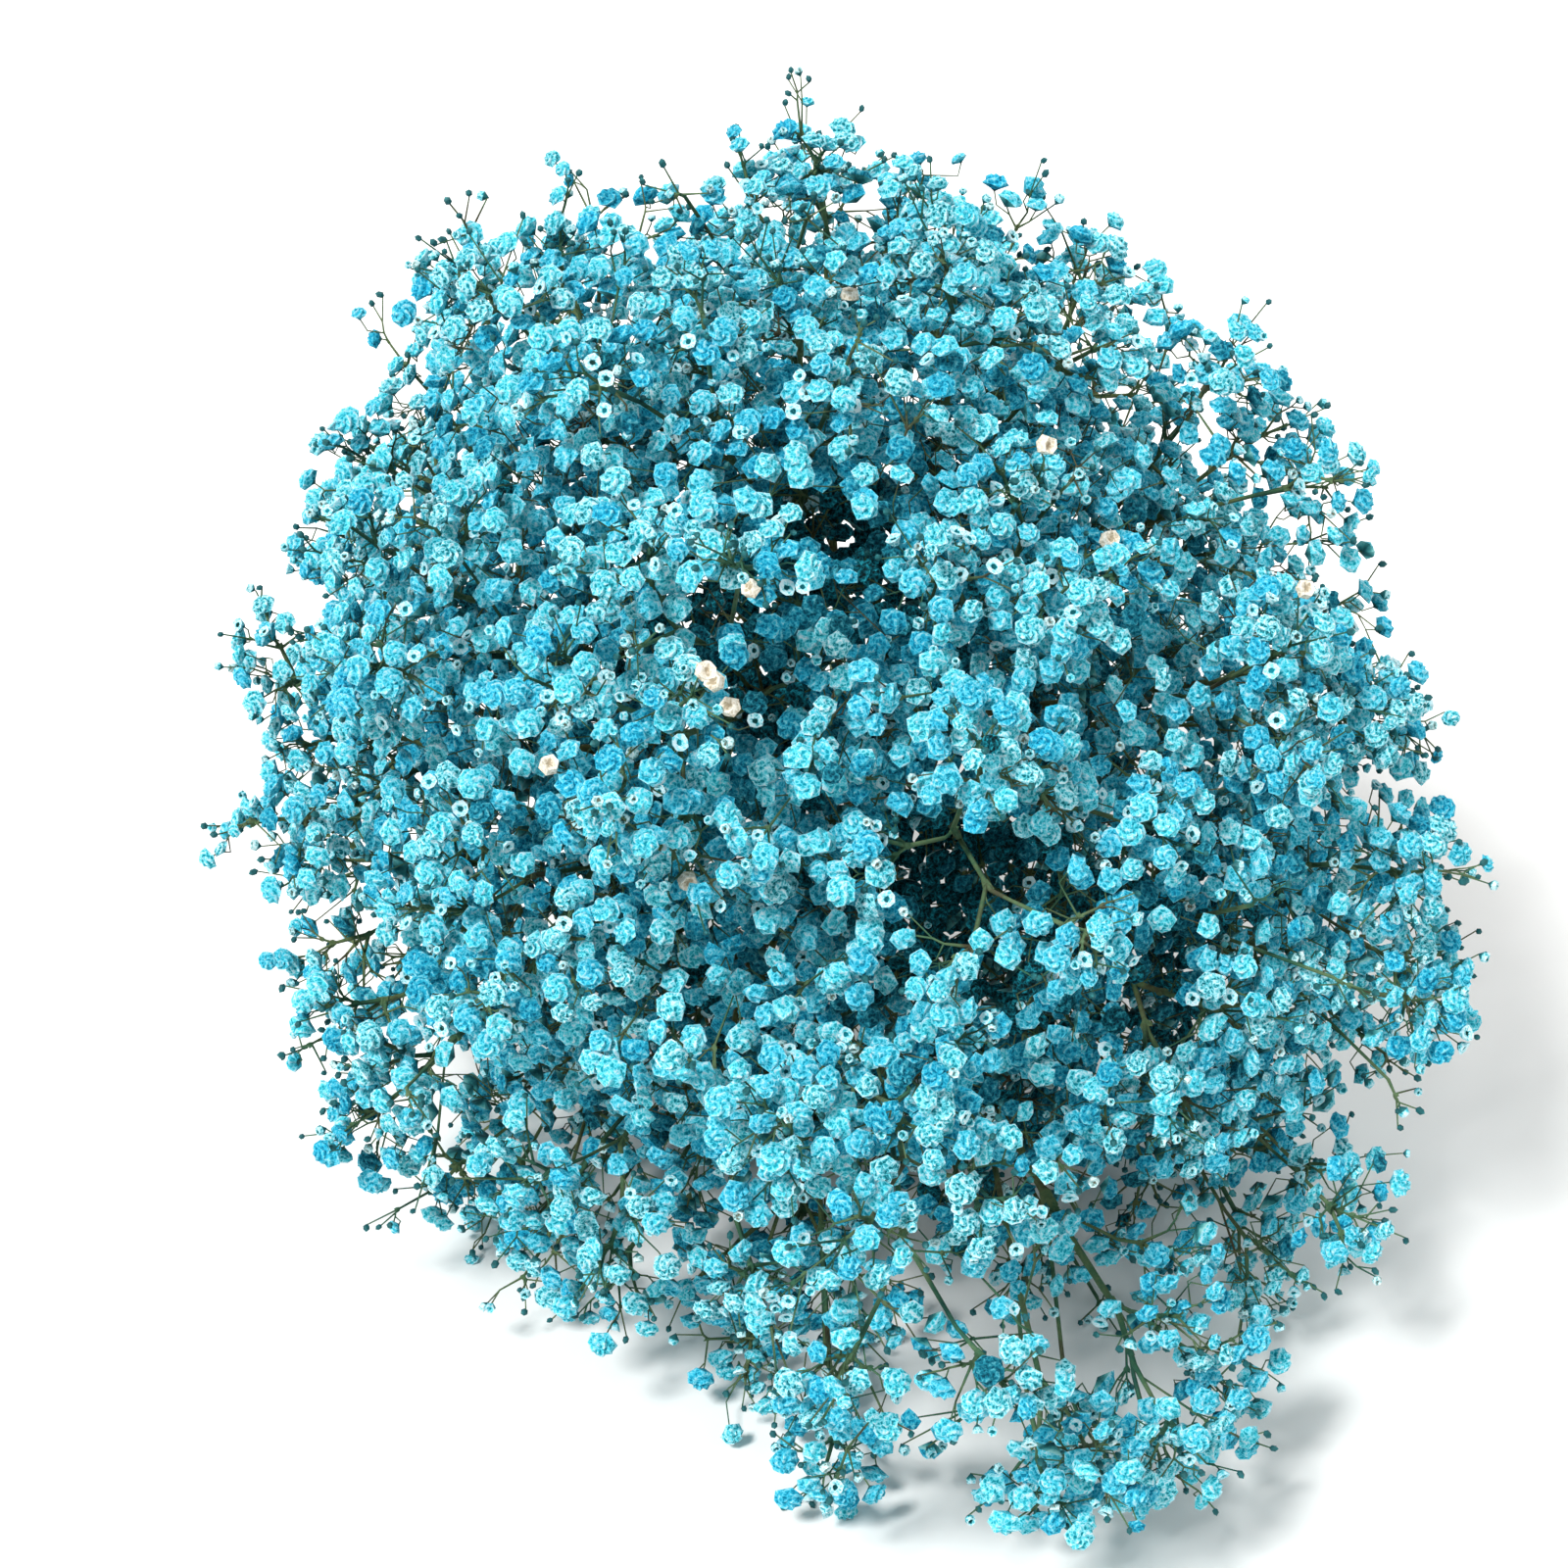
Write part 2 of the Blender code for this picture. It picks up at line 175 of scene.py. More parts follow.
def headReach(direction):
    tilt = math.acos(min(1, direction.dot(forward)))
    clock = math.atan2(direction.dot(upward), direction.dot(across))
    turned = min(1, tilt / bunch["outlineFullTilt"])
    turned = turned * turned * (3 - 2 * turned)
    radius = bunch["headRound"] + (outlineRadius(clock) - bunch["headRound"]) * turned
    beside = bunch["headForward"] * math.sin(tilt)
    return bunch["headForward"] * math.cos(tilt) + math.sqrt(radius ** 2 - beside ** 2)


def sideAxes(facing):
    helper = across if abs(facing.x) < 0.8 else upward
    first = facing.cross(helper).normalized()
    return first, facing.cross(first)


def beside(facing, clock):
    first, second = sideAxes(facing)
    return first * math.cos(clock) + second * math.sin(clock)


def lowestOf(site):
    # lowest point of the node's bloom: five petal tips with notches between, or a bud's four corners
    petals = site.radius > bunch["budRadius"]
    count = 10 if petals else 4
    heights = [(site.centre + site.facing * (bunch["domeHeight"] * site.radius)).z]
    for step in range(count):
        angle = site.phase + math.tau * step / count
        notch = petals and step % 2 == 1
        out = site.radius * (0.80 if notch else 1)
        rise = site.radius * (0.28 + 0.08 * math.sin(3 * angle + 5 * site.phase)) * notch
        heights.append((site.centre + beside(site.facing, angle) * out + site.facing * rise).z)
    return min(heights)


def drawDirection(draw):
    cap = 1 - math.cos(bunch["bloomFanAngle"])
    return offAxis(math.acos(1 - cap * draw.random()), math.tau * draw.random())


def nearestSpray(direction, directions):
    return max(range(bunch["sprays"]), key=lambda index: direction.dot(directions[index]))


def siteAt(centre, direction, phase, radius):
    facing = (direction + (centre - headMiddle).normalized()).normalized()
    return Site(centre, facing, phase, radius)


def drawSite(draw, layer, directions, reaches):
    _, radius, _, shallow, deep = layer
    direction = drawDirection(draw)
    depth = draw.uniform(shallow, deep)
    phase = draw.uniform(0, math.tau)
    owner = nearestSpray(direction, directions)
    centre = fanOrigin + direction * (headReach(direction) * reaches[owner] * depth)
    rests = centre.z < radius
    if rests:
        centre = fanOrigin + direction * ((fanOrigin.z - radius) / -direction.z)
    site = siteAt(centre, direction, phase, radius)
    if rests:
        centre.z -= lowestOf(site) + bunch["press"]
    return site, owner


def placeSites(directions):
    draw = random.Random(bunch["seed"])
    reaches = [draw.uniform(*bunch["sprayReach"]) for _ in directions]
    planes = [[(own - other).normalized() for other in directions if other is not own]
              for own in directions]
    sites = [[] for _ in directions]
    placed = []
    for layer in layers:
        for _ in range(layer[0]):
            weighed = []
            for _ in range(bunch["placesDrawn"]):
                site, owner = drawSite(draw, layer, directions, reaches)
                fromOrigin = site.centre - fanOrigin
                margin = site.radius + bunch["clearance"]
                if any(fromOrigin.dot(plane) < margin for plane in planes[owner]):
                    continue
                gap = min(((site.centre - other.centre).length for other in placed), default=1)
                if gap < layer[2]:
                    continue
                weighed.append((gap, site, owner))
                if len(weighed) == bunch["placesWeighed"]:
                    break
            if weighed:
                _, site, owner = max(weighed, key=lambda choice: choice[0])
                sites[owner].append(site)
                placed.append(site)
    return sites, reaches


def twigRadius(count):
    return min(bunch["stemRadius"], bunch["twigRadius"] * count ** bunch["twigGrowth"])


def stemRoute(index, direction, draw):
    clock = index * goldenAngle
    offset = (across * math.cos(clock) + upward * math.sin(clock)) * bunch["stemSpacing"]
    offset *= math.sqrt(index + 0.5)
    foot = offset * bunch["stemFlare"]
    level = bunch["bandHeight"] + foot.z - bunch["stemRadius"] * math.cos(bunch["lean"])
    longest = (level + bunch["stemPress"]) / math.sin(bunch["lean"])
    length = min(bunch["stemBehindBand"] + draw.uniform(*bunch["cutJitter"]), longest)
    clamp = forward * (rubberBand["halfWidth"] + bunch["stemStraight"])
    start = bandMiddle + offset + clamp
    end = fanOrigin + direction * bunch["fanBendEnd"]
    pull = (end - start).length * bunch["fanPull"]
    route = [bandMiddle + foot - forward * length, bandMiddle + offset - clamp, start]
    for step in range(1, stems["bendSteps"] + 1):
        share = step / stems["bendSteps"]
        back = (1 + 2 * share) * (1 - share) ** 2
        leave = share * (1 - share) ** 2 * pull
        arrive = share ** 2 * (share - 1) * pull
        route.append(start * back + end * (1 - back) + forward * leave + direction * arrive)
    return route


def apart(one, other):
    return (one.centre - other.centre).length


def splitUp(items):
    # two or three groups, by their nearness to the items furthest apart
    pairs = [(one, two) for one in items for two in items]
    seeds = list(max(pairs, key=lambda pair: apart(*pair)))
    if len(items) > 5:
        seeds.append(max(items, key=lambda item: min(apart(item, seed) for seed in seeds)))
    groups = [[] for _ in seeds]
    for item in items:
        nearest = min(range(len(seeds)), key=lambda index: apart(item, seeds[index]))
        groups[nearest].append(item)
    groups.sort(key=len, reverse=True)
    return groups


def growTwigs(route, sites, twigs, forks):
    # the node's own twigs: lengthen this one, and start a side twig for each further fork
    point = route[-1][0]
    if len(sites) == 1:
        twigs.append((route, sites[0]))
        return
    middle = sum((site.centre for site in sites), Vector()) / len(sites)
    feet = [site.centre - site.facing * (bunch["calyxDepth"] * site.radius) for site in sites]
    nearest = min((foot - fanOrigin).length for foot in feet)
    room = nearest - bunch["lastTwig"] - (point - fanOrigin).length
    ahead = middle - point
    step = max(bunch["shortestStep"], min(bunch["forkShare"] * ahead.length, room))
    ahead.normalize()
    fork = point + ahead * step
    route.append((fork, twigRadius(len(sites))))
    groups = splitUp(sites)
    growTwigs(route, groups[0], twigs, forks)
    for number, group in enumerate(groups[1:]):
        root = fork - ahead * min(bunch["forkBack"][number], bunch["forkBackShare"] * step)
        forks.append((root, ahead, twigRadius(len(sites))))
        growTwigs([(root, twigRadius(len(group)))], group, twigs, forks)


# Clusters: the real blooms and buds that grow where the node has one large bloom

clusters = {
    "seed": 5,
    "blooms": 27,  # in a cluster of the largest size, fewer in smaller ones
    "buds": 13,
    # the places of a cluster's blooms, as shares of its radius
    "spread": 0.92,  # furthest from its middle
    "crown": 0.50,  # middle of the highest bloom above the cluster's middle
    "crownFall": 0.46,  # lower by this at the edge
    "depth": 1.05,  # lowest bloom under the highest
    "towardsCrown": 1.3,  # above 1 gathers its blooms at the top
    "plainerFrom": (0.62, 1.05),  # below these shares of the depth its blooms get plainer
    "bloomRadius": 0.00465,  # 9.3 mm across
    "bloomScale": (0.72, 0.98, 1.16),  # smallest, commonest and largest
    "halfOpenShare": 0.15,
    "halfOpenScale": (0.42, 0.62),
    "openingBudShare": 0.40,
    "budRadius": {"openingBud": (0.0015, 0.0021), "closedBud": (0.0010, 0.0014)},
    "budBeside": (0.0045, 0.0090),
    "budAbove": (-0.003, 0.009),
    "sprigShare": 0.5,  # clusters at the outside with a loose sprig of buds
    "sprigItems": (3, 7),
    "sprigBlooms": 0.35,  # share of them that are small blooms
    "sprigReach": (0.013, 0.027),  # from the cluster's middle
    "outermost": 1.075,  # share of the head's reach that no sprig passes
    "budSprigItems": (4, 7),
    "budSprigReach": (0.004, 0.019),
    "budSprigLean": 0.9,  # how freely it spreads
    "sprigLean": 0.45,
    "sprigFan": 0.25,
    "sprigNod": 0.5,
    "sprigBloomScale": (0.55, 0.85),
    "lowest": 0.55,  # a bloom's middle lies at least this share of its radius above the surface
    "outward": 0.4,  # how far the blooms at a cluster's edge turn outward
    "squash": (0.82, 1.12),  # height of a bloom or bud against its form's
    "widest": 0.012,  # no bloom is wider
    "budOverlap": 0.0012,  # a bud may press this far into its neighbour
    "crowding": 0.78,  # two blooms may come this near, as a share of their radii
    "placesDrawn": 14,
    "tilt": 0.45,  # how freely a bloom nods
    "root": 1.6,  # its own twigs start this many radii behind its middle
    "undyedAt": ((780, 628), (770, 673), (722, 664), (792, 662), (1087, 458), (540, 770), (1112, 655),
                 (700, 905), (1150, 490), (905, 300), (1362, 560)),  # pixels of the cream blooms
    "undyedRadius": 0.0034,
    "undyedNearer": 120,  # a metre nearer to the camera outweighs so many pixels beside the spot
}

# Small side groups that close the gaps between the clusters
sideGroups = {
    "seed": 9,
    "count": 520,
    "radius": 0.0088,
    "reach": (0.40, 0.985),  # nearest and furthest, as a share of the spray's reach
    "towardsFront": 0.75,  # below 1 leaves more of them deep inside
    "clear": 0.0062,  # wanted room round a group's middle
    "deepFrom": 0.85,  # nearer to the band than this share, its blooms are plainer
    "placesDrawn": 24,
    "behind": 0.016,  # it leaves its twig at least this far nearer to the band
    "twigRadius": 0.00042,
    "twigSamples": 0.006,
}

# Groups and single blooms that stand where the floor would show through the head
sightHoles = {
    "seed": 12,
    # azimuth and elevation of an eye, in degrees, and the most groups and blooms that it asks for
    "eyes": ((0, 30, 1300), (0, 80, 300), (90, 15, 300), (-90, 15, 300), (45, 30, 200), (-45, 30, 200)),
    "cell": 0.0024,
    "halfSide": 0.33,  # of the square that is looked through
    "mouth": 0.036,  # a hole with no bloom this near on each side stays
    "window": 2,  # cells on each side that count as one hole
    "smallest": 2,  # cells of a hole that a single bloom closes
    "forGroup": 20,  # and of one that a whole group closes
    "bloomScale": (0.85, 1.1),
    "innerShare": 0.6,  # further out than this share of the reach, finer blooms
    "shade": 0.70,  # a bloom closes this share of its radius
    "reach": (0.36, 0.88),
    "placesAlong": 24,
}

# The lowest sprays hang loosely and let the floor show
looseTail = {
    "below": 1185,  # pixel row of the photograph
    "ends": (1535, 1585),  # blooms and buds thin out to none between these rows
    "blooms": 0.72,  # share of the blooms in a cluster there
    "groups": 0.70,  # share of the side groups
    "closed": 0.002,  # share of the holes' cells there that are closed
}

# Sprays far from the axis aren't pressed together, so their clusters are open and twigs show
looseRim = {
    "from": math.radians(38),
    "until": math.radians(62),
    "blooms": 0.60,  # share of the blooms that is left at the rim
    "spread": 1.18,  # and how much wider they stand
    "groups": 0.45,
    "outer": 0.76,  # share of the outline from which the holes are left open
    "closed": 0.004,  # share of the holes' cells that are closed at the outline
}

# where the photograph shows white between loose sprays, as pixels with their radius
looseSpots = {
    "at": ((515, 275, 80), (340, 680, 60), (300, 870, 85), (340, 1010, 90), (450, 1130, 80), (580, 1210, 85),
           (850, 195, 55), (1260, 1210, 75), (1120, 330, 45), (390, 420, 45), (270, 660, 60)),
    "groups": 0.25,
    "closed": 0.004,
}

# Deep dark hollows between the sprays, as pixels of the photograph with their radius
hollows = {
    "at": ((955, 885, 46), (1015, 890, 48), (852, 545, 32), (728, 622, 32), (962, 955, 32),
           (1178, 1035, 38), (770, 690, 26), (1095, 925, 30), (1015, 1000, 28), (1190, 965, 24)),
    "down": 0.14,  # their depth under the head's round front
    "shadeFrom": 0.045,  # below this depth their walls and floor are painted deeper in colour, as painted shade
    "wall": 34,  # pixels
    # how much deeper their walls and floor are coloured, as painted shade
    "deeper": 0.26,
}

# Blooms deeper in the head are coloured deeper, partly as more dye and partly as painted shade, and those at
# the outside bleached
dyeing = {
    "usual": 0.50,
    "spread": 0.09,
    "below": 0.08,  # more at the bottom of a cluster, as painted shade
    "inside": 0.36,  # more inside the head, partly dye and partly painted shade
    "paleFrom": 0.89,  # share of the head's reach where it starts to deepen
    "inkAfter": 0.36,  # and how much further in it is deepest
    "cluster": 0.05,  # spread from cluster to cluster
    "deeperShare": 0.13,
    "deeper": 0.22,
    "palest": 0.38,
    "halfOpen": (0.28, 0.48),
    "openingBud": (0.20, 0.45),
    "closedBud": 0.8,
}


class Crowd:
    # what stands where, in cells as wide as the widest bloom
    def __init__(self, cell):
        self.cell = cell
        self.cells = {}

    def key(self, point):
        return tuple(math.floor(value / self.cell) for value in point)

    def overlap(self, centre, radius):
        # how deep a ball would stand in its nearest neighbour, below 0 where it is clear
        x, y, z = self.key(centre)
        worst = -1
        for dx in (-1, 0, 1):
            for dy in (-1, 0, 1):
                for dz in (-1, 0, 1):
                    for other, otherRadius in self.cells.get((x + dx, y + dy, z + dz), ()):
                        reach = (radius + otherRadius) * clusters["crowding"]
                        worst = max(worst, reach - (centre - other).length)
        return worst

    def add(self, centre, radius):
        self.cells.setdefault(self.key(centre), []).append((centre, radius))


def placeInCluster(site, draw, crowd, radius):
    # the clearest of a few places in the cluster
    spread = clusters["spread"] * (1 + (looseRim["spread"] - 1) * rimShare(site.centre))
    best = None
    for _ in range(clusters["placesDrawn"]):
        share = math.sqrt(draw.random())
        side = beside(site.facing, draw.uniform(0, math.tau))
        height = clusters["crown"] - clusters["crownFall"] * share ** 2
        height -= clusters["depth"] * draw.random() ** clusters["towardsCrown"]
        centre = site.centre + (side * (spread * share) + site.facing * height) * site.radius
        centre.z = max(centre.z, radius * clusters["lowest"])
        overlap = crowd.overlap(centre, radius)
        if best is None or overlap < best[0]:
            best = (overlap, centre)
        if overlap < 0:
            break
    crowd.add(best[1], radius)
    return best[1]


def nodding(facing, draw, freedom):
    first, second = sideAxes(facing)
    lean = first * draw.gauss(0, freedom) + second * draw.gauss(0, freedom)
    return (facing + lean).normalized()


def shareOfReach(point):
    away = point - fanOrigin
    return away.length / headReach(away.normalized())


def rimShare(point):
    # 0 near the axis and 1 at the rim of the fan
    tilt = (point - fanOrigin).angle(forward)
    return clamped((tilt - looseRim["from"]) / (looseRim["until"] - looseRim["from"]))


def outlineShare(point):
    # how near the photograph's outline it shows, 1 on it
    x, y = photoPixel(point)
    aside, above = x - camera["headAt"][0], camera["headAt"][1] - y
    return math.hypot(aside, above) * camera["pixel"] / outlineRadius(math.atan2(above, aside))


def nearSpot(point, spots, margin=0):
    x, y = photoPixel(point)
    return any(math.hypot(x - column, y - row) < radius + margin for column, row, radius in spots)


def looseShare(point, key, otherwise):
    # what the tail or a loose spot says of this place, or else what the rest of the head does
    if inTail(point):
        return looseTail[key]
    return looseSpots[key] if nearSpot(point, looseSpots["at"]) else otherwise


def shareClosed(point):
    # the share of the holes' cells round this place that are closed
    outer = clamped((outlineShare(point) - looseRim["outer"]) / (1 - looseRim["outer"]))
    return looseShare(point, "closed", looseRim["closed"] ** outer)


def shareOfGroups(point):
    return looseShare(point, "groups", 1 - (1 - looseRim["groups"]) * rimShare(point))


def underFront(point):
    # how far behind the head's round front it lies, as the camera looks
    away = point - headMiddle
    along = away.dot(towardCamera)
    return math.sqrt(max(0, bunch["headRound"] ** 2 - away.length_squared + along ** 2)) - along


def inHollow(point):
    return underFront(point) < hollows["down"] and nearSpot(point, hollows["at"])


def staysEmpty(point, draw):
    return inHollow(point) or pastTail(point, draw)


def dyeAndShadeOf(draw, below, centre, usual=dyeing["usual"]):
    # 0 is undyed, 0.3 pale, about 0.55 the usual turquoise, and 1 the ink blue of the inside, which is partly
    # dye and partly painted shade
    inside = clamped((dyeing["paleFrom"] - shareOfReach(centre)) / dyeing["inkAfter"])
    # deeper inside the head partly as dye and partly as painted shade, and at a cluster's bottom as painted
    # shade
    dye = draw.gauss(usual, dyeing["spread"]) + dyeing["below"] * below + dyeing["inside"] * inside
    if draw.random() < dyeing["deeperShare"]:
        dye += dyeing["deeper"]
    # the hollows' walls and floor are coloured deeper, as painted shade
    if underFront(centre) > hollows["shadeFrom"] and nearSpot(centre, hollows["at"], hollows["wall"]):
        dye += hollows["deeper"]
    return min(1, max(dyeing["palest"], dye))


def budSprig(site, draw, crowd):
    # a sprig of buds, the first where the node has its one
    radius = clusters["budRadius"]["closedBud"][1]
    items = [Item("closedBud", site.centre, site.facing, radius, dyeing["closedBud"])]
    crowd.add(site.centre, radius)
    for _ in range(draw.randint(*clusters["budSprigItems"])):
        lean = nodding(-site.facing, draw, clusters["budSprigLean"])
        centre = site.centre + lean * draw.uniform(*clusters["budSprigReach"])
        addBud(items, centre, nodding(site.facing, draw, clusters["sprigNod"]), draw, crowd)
    return items


def kindOf(below, level):
    # level 0 is an outer cluster, 1 an inner one and 2 a deep one
    for limit in clusters["plainerFrom"]:
        if below > limit:
            level += 1
    return openKinds[min(level, len(openKinds) - 1)]


def addBlooms(items, site, count, level, draw, crowd):
    clusterDye = draw.gauss(dyeing["usual"], dyeing["cluster"])
    low, usual, high = clusters["bloomScale"]
    for _ in range(round(count)):
        halfOpen = draw.random() < clusters["halfOpenShare"]
        scale = draw.uniform(*clusters["halfOpenScale"]) if halfOpen else draw.triangular(low, high, usual)
        radius = clusters["bloomRadius"] * scale
        centre = placeInCluster(site, draw, crowd, radius)
        if staysEmpty(centre, draw):
            continue
        away = (centre - site.centre) / site.radius
        below = max(0, (clusters["crown"] - away.dot(site.facing)) / clusters["depth"])
        facing = (site.facing + away * clusters["outward"]).normalized()
        facing = nodding(facing, draw, clusters["tilt"])
        kind = "halfOpen" if halfOpen else kindOf(below, level)
        dye = draw.uniform(*dyeing["halfOpen"]) if halfOpen else dyeAndShadeOf(draw, below, centre, clusterDye)
        items.append(Item(kind, centre, facing, radius, dye))


def addSprig(items, site, draw, crowd):
    # small blooms and buds that stand out from a cluster at the outside
    ahead = nodding(site.facing, draw, clusters["sprigLean"])
    for _ in range(draw.randint(*clusters["sprigItems"])):
        away = nodding(ahead, draw, clusters["sprigFan"]) * draw.uniform(*clusters["sprigReach"])
        centre = site.centre + away
        if shareOfReach(centre) > clusters["outermost"] or pastTail(centre, draw):
            continue
        if draw.random() < clusters["sprigBlooms"]:
            radius = clusters["bloomRadius"] * draw.uniform(*clusters["sprigBloomScale"])
            centre.z = max(centre.z, radius * clusters["lowest"])
            crowd.add(centre, radius)
            facing = nodding(ahead, draw, clusters["sprigNod"])
            items.append(Item("bloom", centre, facing, radius, dyeAndShadeOf(draw, 0, centre)))
        else:
            addBud(items, centre, ahead, draw, crowd)


def fillCluster(site, draw, crowd, level):
    items = []
    size = site.radius / bunch["clusterRadius"]
    count = clusters["blooms"] * size ** 2 + draw.uniform(-1, 1)
    count *= 1 - (1 - looseRim["blooms"]) * rimShare(site.centre)
    if inTail(site.centre):
        count *= looseTail["blooms"]
    addBlooms(items, site, count, level, draw, crowd)
    blooms = list(items)
    for _ in range(round(clusters["buds"] * size ** 2 + draw.uniform(-0.5, 1.5)) * bool(blooms)):
        bloom = draw.choice(blooms)
        side = beside(bloom.facing, draw.uniform(0, math.tau))
        centre = bloom.centre + side * draw.uniform(*clusters["budBeside"])
        centre += site.facing * draw.uniform(*clusters["budAbove"])
        addBud(items, centre, site.facing, draw, crowd)
    if level == 0 and draw.random() < clusters["sprigShare"]:
        addSprig(items, site, draw, crowd)
    return items


def addBud(items, centre, facing, draw, crowd):
    kind = "openingBud" if draw.random() < clusters["openingBudShare"] else "closedBud"
    radius = draw.uniform(*clusters["budRadius"][kind])
    centre.z = max(centre.z, radius)
    if staysEmpty(centre, draw) or crowd.overlap(centre, radius) > clusters["budOverlap"]:
        return
    crowd.add(centre, radius)
    facing = nodding(facing, draw, clusters["tilt"])
    dye = draw.uniform(*dyeing["openingBud"]) if kind == "openingBud" else dyeing["closedBud"]
    items.append(Item(kind, centre, facing, radius, dye))


def inTail(point):
    return photoPixel(point)[1] > looseTail["below"]


def pastTail(point, draw):
    return photoPixel(point)[1] > draw.uniform(*looseTail["ends"])


def placeSideGroups(directions, reaches, crowd, clusterItems):
    # groups in the emptiest of a few places, each filled before the next is placed
    draw = random.Random(sideGroups["seed"])
    near, far = sideGroups["reach"]
    groups = [[] for _ in directions]
    for _ in range(sideGroups["count"]):
        best = None
        for _ in range(sideGroups["placesDrawn"]):
            direction = drawDirection(draw)
            share = near + (far - near) * draw.random() ** sideGroups["towardsFront"]
            owner = nearestSpray(direction, directions)
            centre = fanOrigin + direction * (headReach(direction) * reaches[owner] * share)
            if centre.z < sideGroups["radius"] or inHollow(centre):
                continue
            if draw.random() > shareOfGroups(centre):
                continue
            overlap = crowd.overlap(centre, sideGroups["clear"])
            if best is None or overlap < best[0]:
                best = (overlap, centre, direction, owner, share)
            if overlap < 0:
                break
        _, centre, direction, owner, share = best
        site = siteAt(centre, direction, 0, sideGroups["radius"])
        groups[owner].append(site)
        level = 1 if share > sideGroups["deepFrom"] else 2
        clusterItems[id(site)] = fillCluster(site, draw, crowd, level)
    return [[site for site in own if clusterItems[id(site)]] for own in groups]


class Sight:
    # what an eye sees through the head: the cells of a square that a bloom closes
    def __init__(self, azimuth, elevation, items):
        turn, rise = math.radians(azimuth), math.radians(elevation)
        level = Vector((math.sin(turn), -math.cos(turn), 0))
        self.toEye = level * math.cos(rise) + Vector((0, 0, math.sin(rise)))
        self.first, self.second = sideAxes(self.toEye)
        self.count = round(2 * sightHoles["halfSide"] / sightHoles["cell"])
        self.closed = np.zeros((self.count, self.count), bool)
        self.mark(items)
        self.holes = self.enclosed()

    def enclosed(self):
        # open cells with a bloom within reach on each of their four sides
        reach = round(sightHoles["mouth"] / sightHoles["cell"])
        found = ~self.closed
        for axis in (0, 1):
            for way in (-1, 1):
                steps = range(way, way * (reach + 1), way)
                found &= np.logical_or.reduce([np.roll(self.closed, step, axis) for step in steps])
        return found

    def mark(self, items):
        away = np.array([item.centre - lookedAt for item in items])
        nearer = camera["distance"] / (camera["distance"] - away @ np.array(self.toEye))
        seen = away @ np.array((self.first, self.second)).T * nearer[:, None]
        radii = np.array([item.radius for item in items]) * nearer * sightHoles["shade"]
        cells = np.floor((seen + sightHoles["halfSide"]) / sightHoles["cell"]).astype(int)
        for step in np.ndindex(5, 5):
            near = cells + np.array(step) - 2
            middle = (near + 0.5) * sightHoles["cell"] - sightHoles["halfSide"]
            inside = np.hypot(*(middle - seen).T) < radii
            inside &= (near >= 0).all(axis=1) & (near < self.count).all(axis=1)
            self.closed[near[inside, 0], near[inside, 1]] = True

    def widestHole(self):
        self.holes &= ~self.closed
        sums = self.holes.astype(int)
        window = range(-sightHoles["window"], sightHoles["window"] + 1)
        for axis in (0, 1):
            sums = sum(np.roll(sums, step, axis) for step in window)
        sums *= self.holes
        place = np.unravel_index(int(sums.argmax()), sums.shape)
        return place, int(sums[place])

    def pointAt(self, place, along):
        first, second = ((cell + 0.5) * sightHoles["cell"] - sightHoles["halfSide"] for cell in place)
        further = (camera["distance"] - along) / camera["distance"]
        return lookedAt + self.toEye * along + (self.first * first + self.second * second) * further


def placeBehind(sight, place, crowd, draw):
    # the emptiest place behind a hole that lies well inside the head
    near, far = sightHoles["reach"]
    best = None
    for step in range(sightHoles["placesAlong"]):
        along = (step / (sightHoles["placesAlong"] - 1) * 2 - 1) * sightHoles["halfSide"]
        centre = sight.pointAt(place, along)
        direction = (centre - fanOrigin).normalized()
        outside = direction.dot(forward) < math.cos(bunch["bloomFanAngle"])
        outside = outside or not near < shareOfReach(centre) < far or centre.z < sideGroups["radius"]
        if outside or inHollow(centre):
            continue
        overlap = crowd.overlap(centre, sideGroups["clear"])
        if best is None or overlap < best[0]:
            best = (overlap, centre, direction)
    if best is None or draw.random() > shareClosed(best[1]):
        return None
    return siteAt(best[1], best[2], 0, sideGroups["radius"])


def singleBloom(site, draw, crowd):
    radius = clusters["bloomRadius"] * draw.uniform(*sightHoles["bloomScale"])
    crowd.add(site.centre, radius)
    facing = nodding(site.facing, draw, clusters["tilt"])
    kind = "innerBloom" if shareOfReach(site.centre) > sightHoles["innerShare"] else "deepBloom"
    return [Item(kind, site.centre, facing, radius, dyeAndShadeOf(draw, 0, site.centre))]


def closeSightHoles(directions, groups, crowd, clusterItems):
    draw = random.Random(sightHoles["seed"])
    for azimuth, elevation, most in sightHoles["eyes"]:
        sight = Sight(azimuth, elevation, [item for items in clusterItems.values() for item in items])
        added = 0
        while added < most:
            place, size = sight.widestHole()
            if size < sightHoles["smallest"]:
                break
            site = placeBehind(sight, place, crowd, draw)
            sight.holes[place] = False
            if site is None:
                continue
            direction = (site.centre - fanOrigin).normalized()
            groups[nearestSpray(direction, directions)].append(site)
            clusterItems[id(site)] = singleBloom(site, draw, crowd)
            if size >= sightHoles["forGroup"]:
                clusterItems[id(site)] += fillCluster(site, draw, crowd, 2)
            sight.mark(clusterItems[id(site)])
            added += 1
        left = int(sight.holes.sum())
        print("seen from", azimuth, elevation, "closed with", added, "groups and blooms,", left, "cells left")


def sampled(routes):
    # places along twigs, each with its distance from the fan's origin and the twig's radius
    samples = []
    for route in routes:
        for (start, startRadius), (end, _) in zip(route, route[1:]):
            count = max(1, round((end - start).length / sideGroups["twigSamples"]))
            for step in range(count):
                place = start.lerp(end, step / count)
                samples.append((*place, (place - fanOrigin).length, startRadius))
    return np.array(samples)


